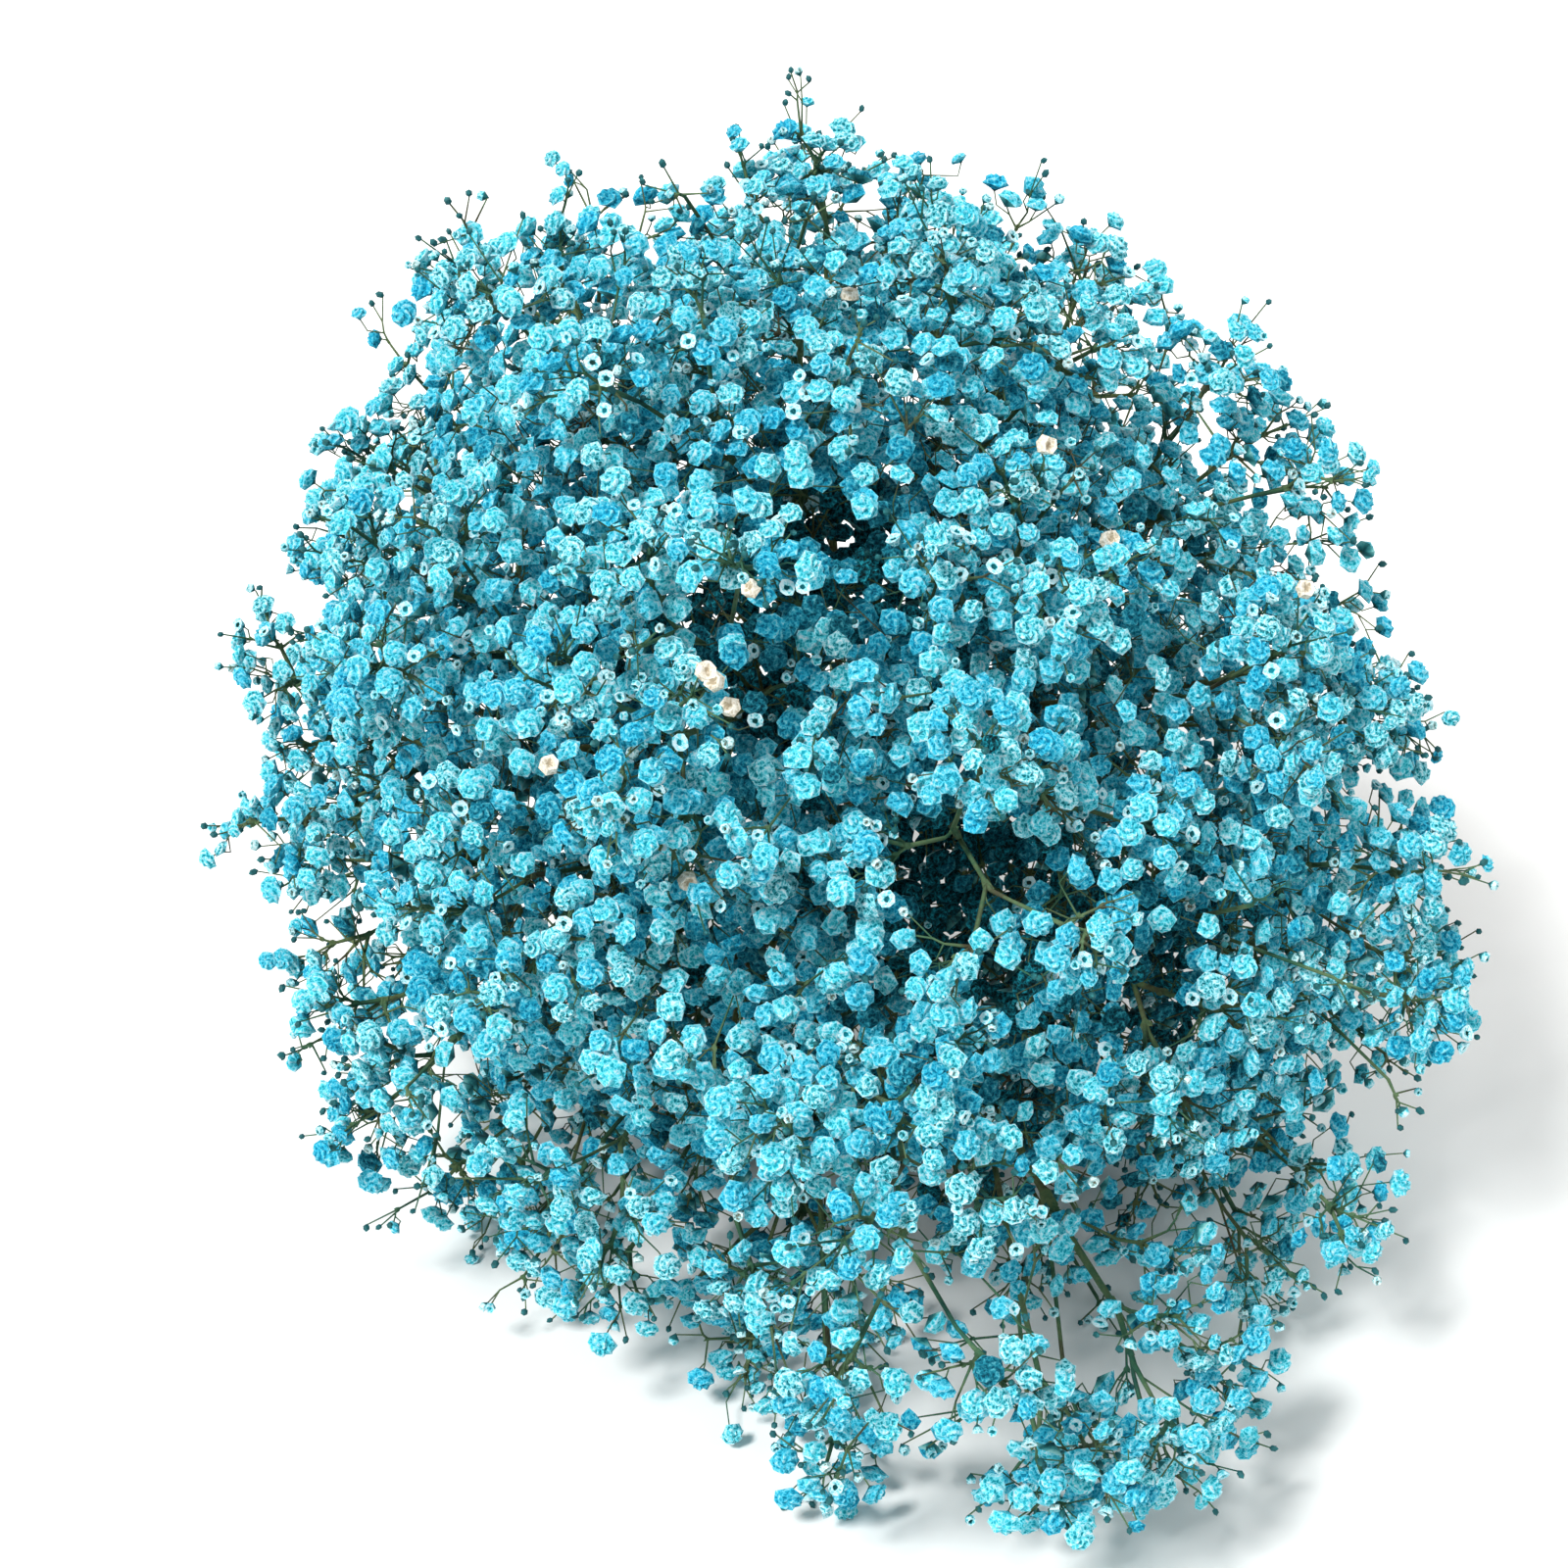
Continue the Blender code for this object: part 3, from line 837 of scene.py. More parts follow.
def joinSideGroups(groups, clusterItems, twigs, routes, forks, draw):
    # each side group grows from the nearest twig of its spray that lies further in, inner groups first
    samples = sampled([route for route, _ in twigs])
    for site in sorted(groups, key=lambda site: (site.centre - fanOrigin).length):
        depth = (site.centre - fanOrigin).length - sideGroups["behind"]
        away = np.linalg.norm(samples[:, :3] - np.array(site.centre), axis=1)
        nearest = samples[np.argmin(away + (samples[:, 3] > depth))]
        start = min(nearest[4], sideGroups["twigRadius"])
        before = len(routes)
        branchOut([(Vector(nearest[:3]), start)], clusterItems[id(site)], routes, forks, draw)
        samples = np.concatenate((samples, sampled(routes[before:])))


# Stems and pedicels

stems = {
    "bendSteps": 8,  # steps in a stem's bend from the band into its own direction
    # a route whose start is at least so thick has so many sides
    "sides": ((0.0012, 8), (0.0006, 4), (0.0, 3)),
    "pedicelRadius": 0.00027,
    "growth": 0.35,
    "bend": 0.35,  # how far behind its foot a pedicel bends, as a share of its length
    "fork": (0.25, 0.62),  # nearest and furthest fork, as a share of the way to what it carries
    "pedicel": (0.0045, 0.009),  # what is left of a twig after its last fork
    "footDepth": {"bloom": 0.60, "innerBloom": 0.60, "deepBloom": 0.55,
                  "halfOpen": 1.05, "openingBud": 1.2, "closedBud": 0.9},
    "straight": ("deepBloom", "openingBud", "closedBud"),  # these have a straight pedicel
    "nodeSwell": 1.45,  # a fork's knot against the twig's radius
    "knotFrom": 4,  # a fork that carries fewer has no knot
    "wander": 0.0011,  # how far a fork strays from the straight line
}


def footOf(item):
    return item.centre - item.facing * (stems["footDepth"][item.kind] * item.radius)


def branchOut(route, items, twigs, forks, draw):
    # the finer twigs of one cluster, down to a pedicel for each bloom and bud
    point = route[-1][0]
    radius = stems["pedicelRadius"]
    if len(items) == 1:
        item = items[0]
        foot = footOf(item)
        bend = foot - item.facing * (stems["bend"] * (foot - point).length)
        if item.kind not in stems["straight"]:
            route.append((point * 0.25 + bend * 0.75, radius))
        route.append((foot + item.facing * (0.15 * item.radius), radius))  # a little into the calyx
        twigs.append(route)
        return
    ahead = sum((item.centre for item in items), Vector()) / len(items) - point
    left = draw.uniform(*stems["pedicel"]) * (1 + stems["bend"] * math.log(len(items)))
    nearest, furthest = stems["fork"]
    step = max(nearest * ahead.length, min(furthest * ahead.length, ahead.length - left))
    ahead.normalize()
    stray = Vector([draw.gauss(0, stems["wander"]) for _ in range(3)])
    fork = point + ahead * step + stray * min(1, step / 0.01)
    fork.z = max(fork.z, radius)
    radius *= len(items) ** stems["growth"]
    route.append((fork, radius))
    if len(items) >= stems["knotFrom"]:
        forks.append((fork, ahead, radius))
    for number, group in enumerate(splitUp(items)):
        branch = route if number == 0 else [(fork, radius * 0.9)]
        branchOut(branch, group, twigs, forks, draw)


def makeTubes(name, routes, sides, material):
    # twigs along their routes, as one curve with a regular profile made a mesh
    unit = 0.001
    bpy.ops.object.select_all(action="DESELECT")
    profile = bpy.data.objects.new("profile", bpy.data.curves.new("profile", "CURVE"))
    profile.data.dimensions = "2D"
    ring = profile.data.splines.new("POLY")
    ring.use_cyclic_u = True
    ring.points.add(sides - 1)
    for number, point in enumerate(ring.points):
        angle = math.tau * number / sides
        point.co = (unit * math.cos(angle), unit * math.sin(angle), 0, 1)
    data = bpy.data.curves.new(name, "CURVE")
    data.dimensions = "3D"
    data.bevel_mode = "OBJECT"
    data.bevel_object = profile
    data.use_fill_caps = True
    for route in routes:
        spline = data.splines.new("POLY")
        spline.points.add(len(route) - 1)
        for point, (place, radius) in zip(spline.points, route):
            point.co = (*place, 1)
            point.radius = radius / unit
    tubes = bpy.data.objects.new(name, data)
    scene.collection.objects.link(tubes)
    scene.collection.objects.link(profile)
    selectOnly(tubes)
    bpy.ops.object.convert(target="MESH")
    tubes = bpy.context.object
    bpy.data.objects.remove(profile)
    tubes.data.materials.clear()
    tubes.data.materials.append(material)
    return tubes


# Materials

def colour(code):
    # an sRGB hex value as linear red, green, blue and alpha
    parts = [int(code[place:place + 2], 16) / 255 for place in (1, 3, 5)]
    return (*[part / 12.92 if part <= 0.04045 else ((part + 0.055) / 1.055) ** 2.4 for part in parts], 1)


def newMaterial(name, sockets):
    material = bpy.data.materials.new(name)
    material.use_nodes = True
    for socket, value in sockets.items():
        material.node_tree.nodes["Principled BSDF"].inputs[socket].default_value = value
    return material, material.node_tree


def addNode(tree, kind, settings, inputs):
    # inputs gives a value, or the output that is linked, for each input by name or number
    node = tree.nodes.new(kind)
    for name, value in settings.items():
        setattr(node, name, value)
    for name, value in inputs.items():
        if isinstance(value, bpy.types.NodeSocket):
            tree.links.new(value, node.inputs[name])
        else:
            node.inputs[name].default_value = value
    return node


def objectPlace(tree):
    return addNode(tree, "ShaderNodeTexCoord", {}, {}).outputs["Object"]


def attribute(tree, name):
    return addNode(tree, "ShaderNodeAttribute", {"attribute_name": name}, {}).outputs["Fac"]


def noise(tree, place, scale, detail):
    return addNode(tree, "ShaderNodeTexNoise", {}, {"Vector": place, "Scale": scale, "Detail": detail})


def mapped(tree, value, low, high, toLow=0, toHigh=1):
    return addNode(tree, "ShaderNodeMapRange", {}, {
        "Value": value, "From Min": low, "From Max": high,
        "To Min": toLow, "To Max": toHigh}).outputs["Result"]


def added(tree, value, factor, other):
    return addNode(tree, "ShaderNodeMath", {"operation": "MULTIPLY_ADD", "use_clamp": True}, {
        0: value, 1: factor, 2: other}).outputs[0]


def ramped(tree, value, stops):
    # the colour at a value, from stops of place and sRGB hex
    node = addNode(tree, "ShaderNodeValToRGB", {}, {"Fac": value})
    elements = node.color_ramp.elements
    while len(elements) > 1:
        elements.remove(elements[-1])
    elements[0].position = stops[0][0]
    elements[0].color = colour(stops[0][1])
    for place, code in stops[1:]:
        elements.new(place).color = colour(code)
    return node.outputs["Color"]


def mixed(tree, share, one, other):
    return addNode(tree, "ShaderNodeMix", {"data_type": "RGBA"}, {
        "Factor": share, 6: one, 7: other}).outputs[2]


def finished(tree, colours, height=None, strength=0, depth=0):
    # links the colours to the shader, and a bump of a strength and a depth in metres
    shader = tree.nodes["Principled BSDF"]
    tree.links.new(colours, shader.inputs["Base Color"])
    if height is not None:
        bump = addNode(tree, "ShaderNodeBump", {}, {
            "Strength": strength, "Distance": depth, "Height": height})
        tree.links.new(bump.outputs["Normal"], shader.inputs["Normal"])


petalColours = {
    # from the bottom of a fold, darkened as painted shade, to a petal's dry rim
    "undyed": ((0.0, "#A99C84"), (0.40, "#D6CCB8"), (0.78, "#EBE3D4"), (1.0, "#F6F0E4")),
    "pale": ((0.0, "#06302C"), (0.30, "#3A9BA6"), (0.70, "#9FDAE2"), (1.0, "#CDE4E8")),
    "turquoise": ((0.0, "#0D8A9A"), (0.40, "#49C4D3"), (0.78, "#8BCFDB"), (1.0, "#BCD8E0")),
    "deepBlue": ((0.0, "#07698A"), (0.40, "#189FC1"), (0.78, "#49B8D0"), (1.0, "#89CBD8")),
    # near black at its low end: the inside's deep dye together with painted shade
    "inkAndShade": ((0.0, "#011315"), (0.40, "#043A42"), (0.78, "#0A6472"), (1.0, "#248A98")),
    "dyes": (0.0, 0.30, 0.52, 0.76, 1.0),  # the dye at which each of these five shows pure
    "crinkle": 1.3,  # width of a crease in mm, coarser than real so that it shows
    # how far the creases darken and lighten the colour, as painted shading of the crinkles
    "paintedCreaseShade": 0.26,
    "petalWidth": 1.35,  # between the crowded rims of the inner petals, in mm
    "rimWave": 0.9,  # how far those rims wave, in mm
    # the crowded rims are paler, and the folds between them darker as painted shade
    "rimLift": 0.36,
    "foldDrop": 0.10,
    "shadeShare": 0.72,
}


def dyedPetal():
    # dyed dried gypsophila petal: papery and matt, pale at the dry rims, and darker in its folds and creases
    # as painted shade
    material, tree = newMaterial("dyedDriedPetal", {
        "Roughness": 0.9, "IOR": 1.45, "Specular IOR Level": 0.15})
    place = objectPlace(tree)
    # the creases darken and lighten the colour, as painted shading of the crinkles, and also bump the surface
    crease = noise(tree, place, 1000 / petalColours["crinkle"], 1.0)
    deep = petalColours["paintedCreaseShade"]
    depth = mapped(tree, crease.outputs["Fac"], 0.32, 0.68, -deep, deep)
    waved = addNode(tree, "ShaderNodeVectorMath", {"operation": "MULTIPLY_ADD"}, {
        0: crease.outputs["Color"], 1: (petalColours["rimWave"] / 1000,) * 3, 2: place}).outputs["Vector"]
    edge = addNode(tree, "ShaderNodeTexVoronoi", {"feature": "DISTANCE_TO_EDGE"}, {
        "Vector": waved, "Scale": 1000 / petalColours["petalWidth"]}).outputs["Distance"]
    rim = mapped(tree, edge, 0.03, 0.20, petalColours["rimLift"], -petalColours["foldDrop"])
    creaseShadeAndRims = addNode(tree, "ShaderNodeMath", {"operation": "ADD"}, {0: depth, 1: rim}).outputs[0]
    height = added(tree, attribute(tree, "shade"), petalColours["shadeShare"], creaseShadeAndRims)
    dye = attribute(tree, "dye")
    steps = petalColours["dyes"]
    colours = ramped(tree, height, petalColours["undyed"])
    for number, name in enumerate(("pale", "turquoise", "deepBlue", "inkAndShade")):
        share = mapped(tree, dye, steps[number], steps[number + 1])
        colours = mixed(tree, share, colours, ramped(tree, height, petalColours[name]))
    finished(tree, colours, crease.outputs["Fac"], 0.5, 0.0003)
    return material


def dyedCalyx():
    # calyx and closed bud: green tissue that the turquoise dye turned dark teal, a little waxy
    material, tree = newMaterial("dyedCalyx", {"Roughness": 0.6, "IOR": 1.45, "Specular IOR Level": 0.3})
    speckle = noise(tree, objectPlace(tree), 900.0, 1.0).outputs["Fac"]  # about 1.1 mm
    height = added(tree, speckle, 0.4, attribute(tree, "shade"))
    finished(tree, ramped(tree, height, (
        (0.15, "#0C3F42"), (0.45, "#1C6266"), (0.75, "#4FA5A5"), (1.0, "#9AD6D2"))))
    return material


def driedStem():
    # dried forked stem: olive to straw brown, with dye drawn up into the finest twigs near the blooms
    material, tree = newMaterial("driedStem", {"Roughness": 0.7, "IOR": 1.45, "Specular IOR Level": 0.25})
    place = objectPlace(tree)
    patch = noise(tree, place, 42.0, 2.0).outputs["Fac"]  # patches of about 24 mm along a stem
    fine = noise(tree, place, 700.0, 2.0).outputs["Fac"]  # ridges of about 1.4 mm
    tone = added(tree, fine, 0.25, patch)
    woody = ramped(tree, tone, ((0.40, "#28371F"), (0.55, "#43512A"), (0.68, "#66683A"), (0.82, "#4E3E26")))
    dyed = ramped(tree, tone, ((0.40, "#1C4A42"), (0.55, "#355F46"), (0.68, "#58704E"), (0.82, "#4A4836")))
    away = addNode(tree, "ShaderNodeVectorMath", {"operation": "DISTANCE"}, {
        0: place, 1: fanOrigin + toFrame}).outputs["Value"]
    colours = mixed(tree, mapped(tree, away, 0.13, 0.30), woody, dyed)
    finished(tree, colours, fine, 0.4, 0.0003)
    return material


def naturalRubber():
    # natural rubber band: tan, a little translucent, and dull with dust
    material, tree = newMaterial("naturalRubber", {
        "Roughness": 0.55, "IOR": 1.52, "Subsurface Weight": 0.15,
        "Subsurface Radius": (0.002, 0.001, 0.0005)})
    dust = noise(tree, objectPlace(tree), 500.0, 3.0).outputs["Fac"]  # about 2 mm
    colours = ramped(tree, dust, ((0.3, "#B98A52"), (0.55, "#CDA268"), (0.75, "#DDBB88")))
    finished(tree, colours, dust, 0.3, 0.0002)
    return material


# Shapes that repeat are modelled once, about 1 unit in radius, with the calyx down

def selectOnly(piece):
    bpy.ops.object.select_all(action="DESELECT")
    piece.select_set(True)
    bpy.context.view_layer.objects.active = piece


def joinTo(piece, others):
    selectOnly(piece)
    for other in others:
        other.select_set(True)
    bpy.ops.object.join()
    return piece


def markSelected(piece, shade, ring=0):
    # the selected vertices remember how near a petal's rim they are, and their ring
    shape = bmesh.from_edit_mesh(piece.data)
    shades = shape.verts.layers.float["shade"]
    rings = shape.verts.layers.int["ring"]
    for vertex in shape.verts:
        if vertex.select:
            vertex[shades] = shade
            vertex[rings] = ring


def selectWhere(piece, wanted):
    shape = bmesh.from_edit_mesh(piece.data)
    for vertex in shape.verts:
        vertex.select = wanted(vertex)
    shape.select_flush_mode()
    bmesh.update_edit_mesh(piece.data)


def selectRing(piece, ring, every=1, first=0):
    # every second vertex of a ring, counted round the axis, or all of it
    shape = bmesh.from_edit_mesh(piece.data)
    rings = shape.verts.layers.int["ring"]
    members = sorted((vertex for vertex in shape.verts if vertex[rings] == ring),
                     key=lambda vertex: math.atan2(vertex.co.y, vertex.co.x))
    chosen = members[first::every]
    selectWhere(piece, lambda vertex: vertex in chosen)


flowerForms = {
    # rings from the calyx up: radius, height and shade of its crests, then of any folds between them,
    # with shade over 1 for a rim that is white with dryness and under 0 for a dark throat
    # a fold's low shade paints it darker, as painted shade
    "bloom": {"sides": 10, "foot": -0.62, "rings": (
        ((0.30, -0.40, 0.10), None), ((1.00, -0.08, 1.00), (0.87, 0.03, 0.40)),
        ((0.94, 0.26, 0.80), (0.79, 0.19, 0.05)), ((0.74, 0.56, 1.00), (0.58, 0.44, 0.10)),
        ((0.40, 0.76, 1.00), (0.26, 0.60, 0.10))),
        "heart": (0.58, 0.30), "jitter": 0.06},
    "innerBloom": {"sides": 8, "foot": -0.60, "rings": (
        ((0.30, -0.36, 0.10), None), ((1.00, -0.03, 1.00), (0.87, 0.08, 0.35)),
        ((0.85, 0.40, 0.85), (0.68, 0.30, 0.05)), ((0.45, 0.70, 1.00), (0.30, 0.55, 0.10))),
        "heart": (0.52, 0.30), "jitter": 0.06},
    "deepBloom": {"sides": 7, "foot": -0.58, "rings": (
        ((1.00, -0.04, 0.90), (0.87, 0.08, 0.35)), ((0.84, 0.40, 0.90), (0.70, 0.30, 0.10)),
        ((0.44, 0.68, 1.00), (0.32, 0.56, 0.10))),
        "heart": (0.50, 0.30), "jitter": 0.06},
    "halfOpen": {"sides": 8, "foot": -1.10, "rings": (
        ((0.52, -0.62, 0.15), None), ((1.00, 0.30, 1.20), (0.92, 0.27, 1.05)),
        ((0.40, 0.18, 0.85), (0.36, 0.16, 0.75)), ((0.24, 0.02, -0.60), (0.22, 0.02, -0.60))),
        "heart": (-0.06, -0.60), "jitter": 0.04},
    "openingBud": {"sides": 6, "foot": -1.25, "rings": (
        ((0.92, -0.30, 0.30), None), ((0.78, 0.60, 1.15), (0.74, 0.56, 0.95))),
        "heart": (0.15, -0.60), "jitter": 0.04},
}


def startShape(name):
    # the shape that was just added becomes the one that is edited
    piece = bpy.context.object
    piece.name = name
    piece.data.attributes.new("shade", "FLOAT", "POINT")
    piece.data.attributes.new("ring", "INT", "POINT")
    bpy.ops.object.mode_set(mode="EDIT")
    bpy.ops.mesh.select_all(action="SELECT")
    return piece


def fixedStart(face):
    # a quad starts at the lower end of the diagonal that splits it, and a larger face stays as it is
    starts = {3: (0, 1, 2), 4: (0, 2)}.get(len(face), (0,))
    return tuple(np.roll(face, -min(starts, key=lambda start: face[start])))


def readShape(piece, finish=None):
    # the modelled shape as plain arrays, from which its copies are made
    bpy.ops.object.mode_set(mode="OBJECT")
    mesh = piece.data
    arrays = {}
    for key, source, name, kind, width in (
            ("points", mesh.vertices, "co", float, 3), ("corners", mesh.loops, "vertex_index", int, 1),
            ("sizes", mesh.polygons, "loop_total", int, 1),
            ("finish", mesh.polygons, "material_index", int, 1),
            ("shade", mesh.attributes["shade"].data, "value", float, 1)):
        arrays[key] = np.empty(len(source) * width, kind)
        source.foreach_get(name, arrays[key])
    if finish is not None:
        arrays["finish"][:] = finish
    arrays["points"] = arrays["points"].reshape(-1, 3)
    bpy.data.objects.remove(piece)
    # faces in a fixed order and from a fixed corner, because modelling leaves both to chance
    faces = np.split(arrays["corners"], np.cumsum(arrays["sizes"])[:-1])
    faces = [fixedStart(face) for face in faces]
    order = sorted(range(len(faces)), key=lambda number: faces[number])
    arrays["corners"] = np.concatenate([faces[number] for number in order])
    arrays["sizes"] = arrays["sizes"][order]
    arrays["finish"] = arrays["finish"][order]
    return arrays


def modelFlower(name, form, seed):
    sides = form["sides"]
    width, height = 0.1, form["foot"]
    bpy.ops.object.select_all(action="DESELECT")
    bpy.ops.mesh.primitive_circle_add(vertices=sides, radius=width, fill_type="NGON")
    flower = startShape(name)
    bpy.ops.transform.translate(value=(0, 0, height))
    for number, ((radius, level, shade), _) in enumerate(form["rings"], start=1):
        bpy.ops.mesh.extrude_region_move(TRANSFORM_OT_translate={"value": (0, 0, level - height)})
        bpy.ops.transform.resize(value=(radius / width, radius / width, 1), center_override=(0, 0, level))
        markSelected(flower, shade, number)
        width, height = radius, level
    heart, heartShade = form["heart"]
    bpy.ops.mesh.extrude_region_move(TRANSFORM_OT_translate={"value": (0, 0, heart - height)})
    bpy.ops.mesh.merge(type="CENTER")
    markSelected(flower, heartShade, len(form["rings"]) + 1)
    for number, ((radius, level, _), fold) in enumerate(form["rings"], start=1):
        if fold:
            selectRing(flower, number, 2, (number + seed) % 2)  # folds between the petals' crests
            shrink = fold[0] / radius
            bpy.ops.transform.resize(value=(shrink, shrink, 1), center_override=(0, 0, level))
            bpy.ops.transform.translate(value=(0, 0, fold[1] - level))
            markSelected(flower, fold[2], number)
    bpy.ops.mesh.select_all(action="SELECT")
    bpy.ops.transform.vertex_random(offset=form["jitter"], uniform=0, normal=0, seed=seed)
    selectRing(flower, 0)
    bpy.ops.mesh.merge(type="CENTER")  # the calyx ends in a point on the pedicel
    bpy.ops.mesh.select_all(action="SELECT")
    bpy.ops.mesh.normals_make_consistent(inside=False)
    bpy.ops.object.mode_set(mode="OBJECT")
    rings = [value.value for value in flower.data.attributes["ring"].data]
    for face in flower.data.polygons:
        face.material_index = 1 if all(rings[corner] <= 1 for corner in face.vertices) else 0
    return readShape(flower)


def modelClosedBud(name):
    bpy.ops.object.select_all(action="DESELECT")
    bpy.ops.mesh.primitive_ico_sphere_add(subdivisions=1, radius=1)
    bud = startShape(name)
    bpy.ops.transform.resize(value=(0.94, 0.94, 1.12))
    markSelected(bud, 0.1)
    selectWhere(bud, lambda vertex: vertex.co.z > 0.9)
    markSelected(bud, 0.35)
    bpy.ops.transform.translate(value=(0, 0, 0.15))  # petals just show at the tip
    return readShape(bud, 1)


def modelKnot(name):
    # the thick place at a fork, with two small dry bracts
    bpy.ops.object.select_all(action="DESELECT")
    bpy.ops.mesh.primitive_uv_sphere_add(segments=4, ring_count=2, radius=1)
    knot = startShape(name)
    bpy.ops.transform.resize(value=(1, 1, 1.7))
    selectWhere(knot, lambda vertex: abs(vertex.co.x) > 0.5)
    bpy.ops.transform.resize(value=(1.7, 1, 1), center_override=(0, 0, 0))
    bpy.ops.transform.translate(value=(0, 0, 1.3))
    return readShape(knot, 2)


variants = {"bloom": 7, "innerBloom": 4, "deepBloom": 4, "halfOpen": 3, "openingBud": 2}
openKinds = ("bloom", "innerBloom", "deepBloom")  # from the finest to the plainest


def modelShapes():
    shapes = {"closedBud": [modelClosedBud("closedBud")], "knot": [modelKnot("knot")]}
    for kind, count in variants.items():
        shapes[kind] = [modelFlower(f"{kind}{number}", flowerForms[kind], number + 1)
                        for number in range(count)]
    for kind, made in shapes.items():
        print("modelled", kind, len(made), "x", len(made[0]["sizes"]), "faces")
    return shapes


def placed(centre, facing, spin, scale):
    # turns a shape's own +Z to where it faces
    first, second = sideAxes(facing)
    axes = Matrix((first, second, facing)).transposed() @ Matrix.Rotation(spin, 3, "Z")
    return Matrix.LocRotScale(centre, axes.to_quaternion(), scale)


def copyShapes(name, copies, materials):
    # one mesh from many copies, each with its own place and dye
    parts = {key: [] for key in ("points", "corners", "sizes", "finish", "shade", "dye")}
    start = 0
    for shape, place, dye in copies:
        points = shape["points"] @ np.array(place.to_3x3()).T + np.array(place.translation)
        own = {**shape, "points": points, "corners": shape["corners"] + start,
               "dye": np.full(len(points), dye)}
        for key, values in own.items():
            parts[key].append(values)
        start += len(points)
    parts = {key: np.concatenate(values) for key, values in parts.items()}
    mesh = bpy.data.meshes.new(name)
    mesh.vertices.add(start)
    mesh.vertices.foreach_set("co", parts["points"].ravel())
    mesh.loops.add(len(parts["corners"]))
    mesh.loops.foreach_set("vertex_index", parts["corners"])
    mesh.polygons.add(len(parts["sizes"]))
    mesh.polygons.foreach_set("loop_start", np.cumsum(parts["sizes"]) - parts["sizes"])
    mesh.polygons.foreach_set("material_index", parts["finish"])
    for key in ("shade", "dye"):
        mesh.attributes.new(key, "FLOAT", "POINT").data.foreach_set("value", parts[key])
    mesh.update(calc_edges=True)
    for material in materials:
        mesh.materials.append(material)
    made = bpy.data.objects.new(name, mesh)
    scene.collection.objects.link(made)
    return made


def setInPlace(piece):
    # from the form's frame to the CAD's, and nothing below the surface
    mesh = piece.data
    points = np.empty(len(mesh.vertices) * 3)
    mesh.vertices.foreach_get("co", points)
    points = points.reshape(-1, 3) + np.array(toFrame)
    points[:, 2] = np.maximum(points[:, 2], 0.0)
    mesh.vertices.foreach_set("co", points.ravel())
    mesh.update()


def undyedFew(clusterItems):
    # the bloom that shows at each of the photograph's cream spots dried in bud and took no dye
    for column, row in clusters["undyedAt"]:
        best = None
        for items in clusterItems:
            for place, item in enumerate(items):
                if item.kind != "bloom":
                    continue
                x, y = photoPixel(item.centre)
                nearer = (item.centre - headMiddle).dot(towardCamera)
                away = math.hypot(x - column, y - row) - clusters["undyedNearer"] * nearer
                if best is None or away < best[0]:
                    best = (away, items, place)
        _, items, place = best
        items[place] = items[place]._replace(kind="openingBud", radius=clusters["undyedRadius"], dye=0)


def fillHead(directions, draw):
    # the clusters and side groups of each spray, and what grows in each of them
    sites, reaches = placeSites(directions)
    print("skeleton grown,", sum(len(own) for own in sites), "clusters")
    crowd = Crowd(clusters["widest"])
    clusterItems = {}
    for own in sites:
        for site in own:
            if site.radius == bunch["budRadius"]:
                clusterItems[id(site)] = budSprig(site, draw, crowd)
            else:
                level = 1 if site.radius == bunch["innerRadius"] else 0
                clusterItems[id(site)] = fillCluster(site, draw, crowd, level)
    groups = placeSideGroups(directions, reaches, crowd, clusterItems)
    closeSightHoles(directions, groups, crowd, clusterItems)
    undyedFew(list(clusterItems.values()))
    print("clusters filled,", Counter(item.kind for items in clusterItems.values() for item in items))
    return sites, groups, clusterItems


def growSpray(route, sites, groups, clusterItems, draw):
    # a spray's blooms and buds, the routes of its twigs and its forks
    twigs, forks, routes, items = [], [], [], []
    growTwigs(route, sites, twigs, forks)
    for twig, site in twigs:
        ahead = site.centre - twig[-1][0]
        behind = clusters["root"] * max(site.radius, 0.01)
        if ahead.length > behind + 0.004:
            twig.append((site.centre - ahead.normalized() * behind, bunch["twigRadius"]))
        items += clusterItems[id(site)]
    joinSideGroups(groups, clusterItems, twigs, routes, forks, draw)
    for twig, site in twigs:
        if clusterItems[id(site)]:
            branchOut(twig, clusterItems[id(site)], routes, forks, draw)
    for site in groups:
        items += clusterItems[id(site)]
    return items, routes, forks


def makeSpray(name, items, routes, forks, shapes, materials, draw):
    copies = []
    for item in items:
        shape = draw.choice(shapes[item.kind])
        scale = Vector((1, 1, draw.uniform(*clusters["squash"]))) * item.radius
        place = placed(item.centre, item.facing, draw.uniform(0, math.tau), scale)
        copies.append((shape, place, item.dye))
    for fork, ahead, radius in forks:
        scale = Vector((1, 1, 1)) * (radius * stems["nodeSwell"])
        copies.append((shapes["knot"][0], placed(fork, ahead, draw.uniform(0, math.tau), scale), 0))
    spray = copyShapes(name, copies, materials)
    spray.data.shade_flat()
    joined = []
    thicker = math.inf
    for thick, sides in stems["sides"]:
        some = [route for route in routes if thick <= route[0][1] < thicker]
        thicker = thick
        if some:
            joined.append(makeTubes("twigs", some, sides, materials[2]))
    joinTo(spray, joined)
    setInPlace(spray)
    return spray


def makeSprays(shapes, materials):
    directions = sprayDirections()
    draw = random.Random(clusters["seed"])
    sites, groups, clusterItems = fillHead(directions, draw)
    stemDraw = random.Random(bunch["seed"] + 1)
    total = 0
    for index, direction in enumerate(directions):
        route = [(point, bunch["stemRadius"]) for point in stemRoute(index, direction, stemDraw)]
        grown = growSpray(route, sites[index], groups[index], clusterItems, draw)
        spray = makeSpray(f"driedSpray{index + 1:02d}", *grown, shapes, materials, draw)
        total += sum(len(face.vertices) - 2 for face in spray.data.polygons)
        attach(spray, "root")
        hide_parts(f"spray_{index + 1:02d}")
    print("sprays made,", total, "triangles")


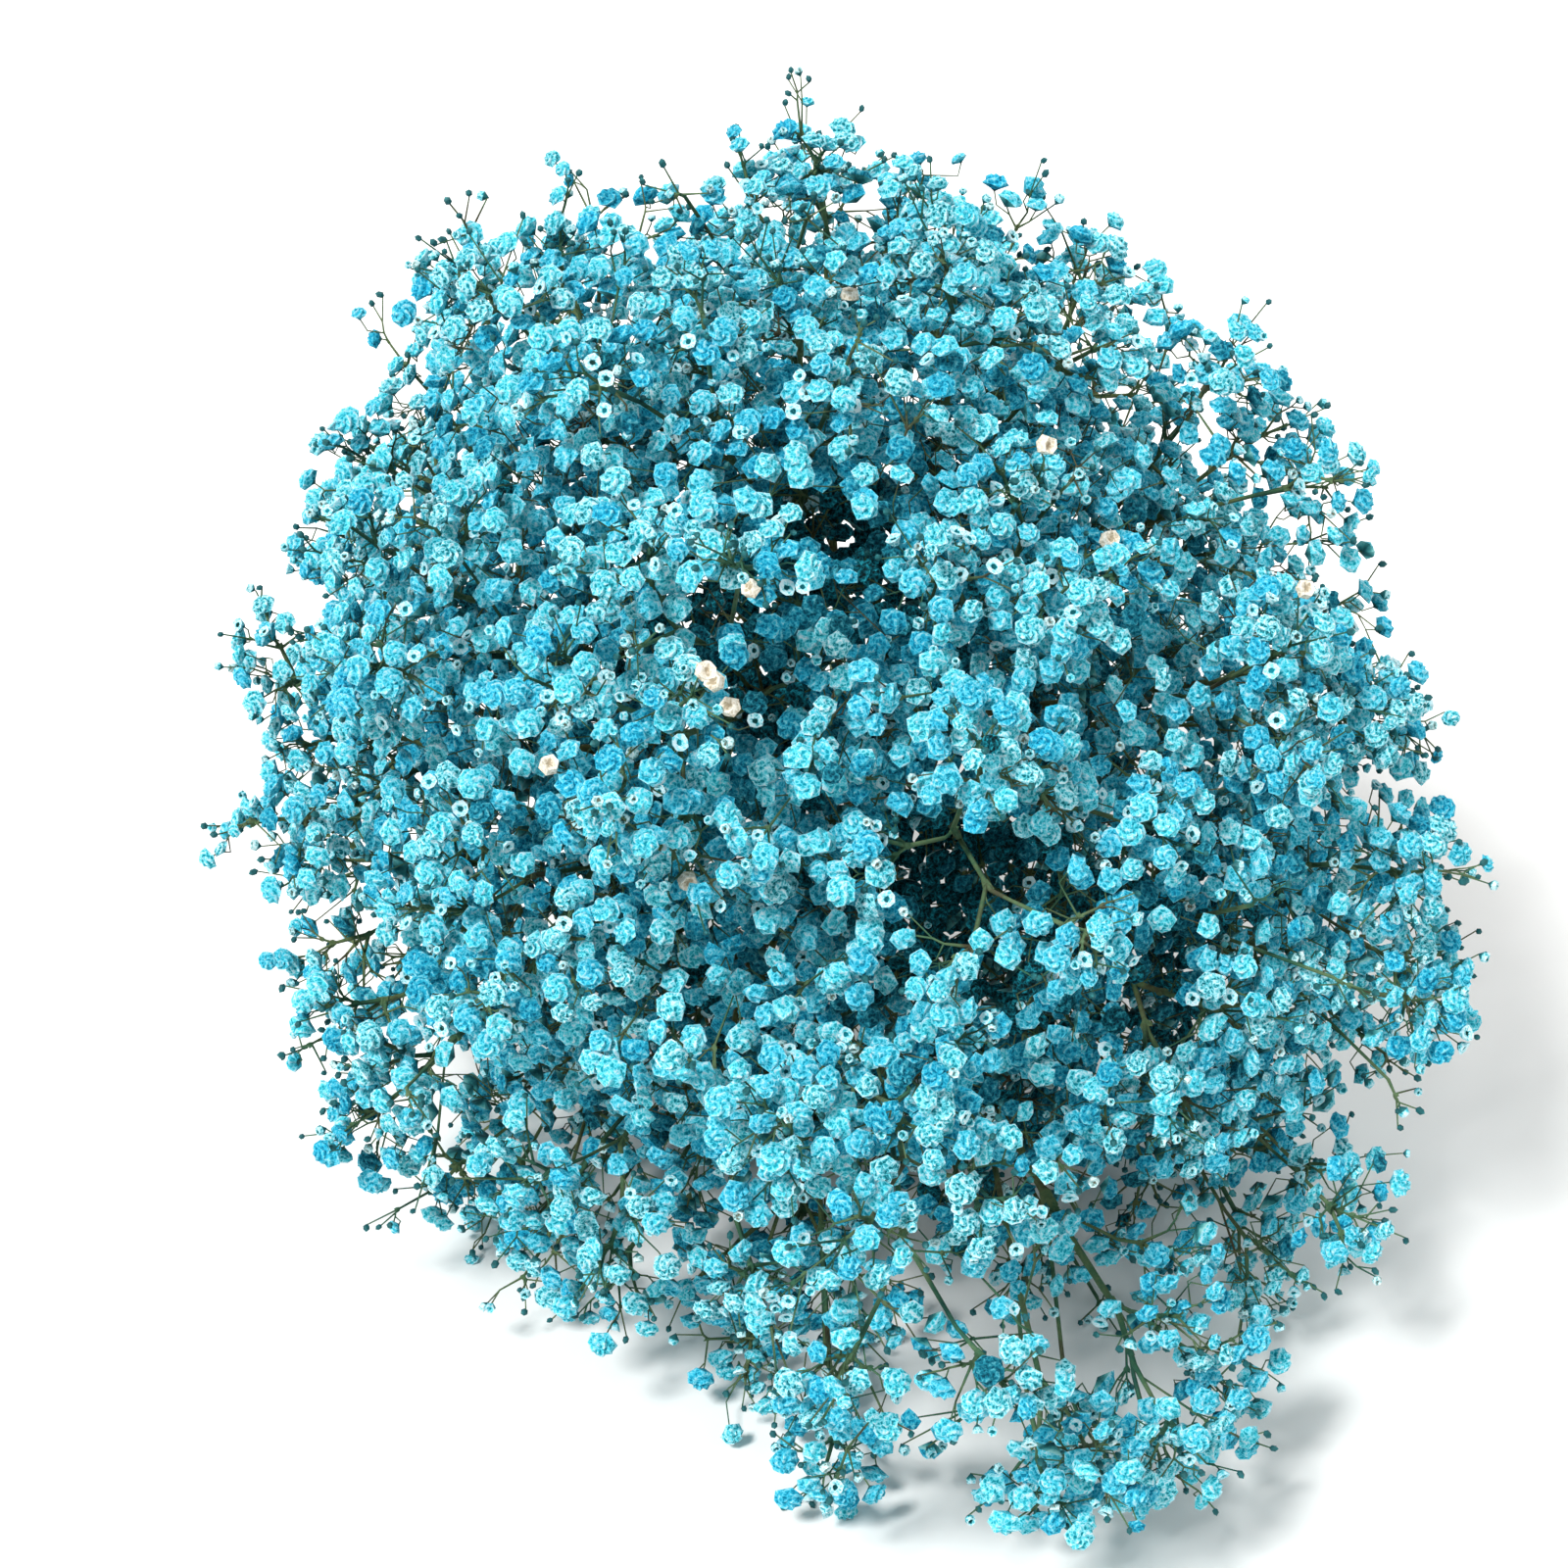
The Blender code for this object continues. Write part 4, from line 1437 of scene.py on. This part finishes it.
rubberBand = {
    "halfWidth": 0.0036,
    "strand": 0.00075,  # half a strand's thickness
    "strandWide": 1.55,  # its width against its thickness
    # each turn: place along the band, lean, and how far it rides up
    "turns": ((-0.0023, 0.03, 0.0), (0.0001, -0.04, 0.0), (0.0023, 0.02, 0.0), (0.0, 0.22, 0.0010)),
}


def makeBand(material):
    inner = bunch["stemSpacing"] * math.sqrt(bunch["sprays"] - 0.5) + bunch["stemRadius"] + 0.0003
    strands = []
    for along, lean, raised in rubberBand["turns"]:
        bpy.ops.object.select_all(action="DESELECT")
        bpy.ops.mesh.primitive_torus_add(major_segments=72, minor_segments=10,
                                         major_radius=inner + rubberBand["strand"] + raised,
                                         minor_radius=rubberBand["strand"])
        strand = bpy.context.object
        bpy.ops.object.mode_set(mode="EDIT")
        bpy.ops.mesh.select_all(action="SELECT")
        bpy.ops.transform.resize(value=(1, 1, rubberBand["strandWide"]))
        bpy.ops.transform.rotate(value=lean, orient_axis="X", center_override=(0, 0, 0))
        bpy.ops.transform.translate(value=(0, 0, along))
        bpy.ops.object.mode_set(mode="OBJECT")
        strands.append(strand)
    band = joinTo(strands[0], strands[1:])
    band.name = "rubberBand"
    band.data.transform(placed(bandMiddle + toFrame, forward, 0, Vector((1, 1, 1))))
    bpy.ops.object.shade_smooth()
    band.data.materials.clear()
    band.data.materials.append(material)
    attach(band, "root")
    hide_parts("band")
    print("band made")


# A pale floor and soft studio light

studio = {
    "floor": "#F4F4F2",
    "floorGrain": "#F1F1EF",
    "floorSide": 60,
    "sky": "#FFFFFF",
    "skyStrength": 0.53,
    "keyFrom": (-0.62, -0.80, 1.15),  # a large, distant soft light
    "keyAngle": math.radians(14),
    "keyStrength": 3.7,
    # place from the head's middle, size and power of each soft box
    "boxes": (((1.1, -0.7, 0.9), 1.2, 4), ((0.1, 1.1, 1.2), 1.0, 8)),
}


def addLight(kind, place, power):
    # a light at a place from the head's middle, turned towards it
    bpy.ops.object.light_add(type=kind, location=headMiddle + toFrame + Vector(place))
    light = bpy.context.object
    light.data.energy = power
    light.rotation_euler = (-Vector(place)).to_track_quat("-Z", "Y").to_euler()
    return light.data


def makeStudio():
    bpy.ops.object.select_all(action="DESELECT")
    bpy.ops.mesh.primitive_plane_add(size=studio["floorSide"])
    floor = bpy.context.object
    floor.name = "floor"
    # matt paper, so that its shadows stay soft
    material, tree = newMaterial("matPaperFloor", {"Roughness": 0.9, "IOR": 1.45})
    grain = noise(tree, objectPlace(tree), 3.0, 2.0).outputs["Fac"]  # patches of about 330 mm
    finished(tree, ramped(tree, grain, ((0.3, studio["floorGrain"]), (0.7, studio["floor"]))))
    floor.data.materials.append(material)
    for place, size, power in studio["boxes"]:
        box = addLight("AREA", place, power)
        box.shape = "DISK"
        box.size = size
    addLight("SUN", studio["keyFrom"], studio["keyStrength"]).angle = studio["keyAngle"]
    world = bpy.data.worlds.new("studio")
    scene.world = world
    world.use_nodes = True
    sky = world.node_tree.nodes["Background"]
    sky.inputs["Color"].default_value = colour(studio["sky"])
    sky.inputs["Strength"].default_value = studio["skyStrength"]
    scene.view_settings.view_transform = "Standard"
    print("floor and lights set")


print("frame read,", len(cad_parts), "nodes")
makeCamera()
makeSprays(modelShapes(), (dyedPetal(), dyedCalyx(), driedStem()))
makeBand(naturalRubber())
makeStudio()
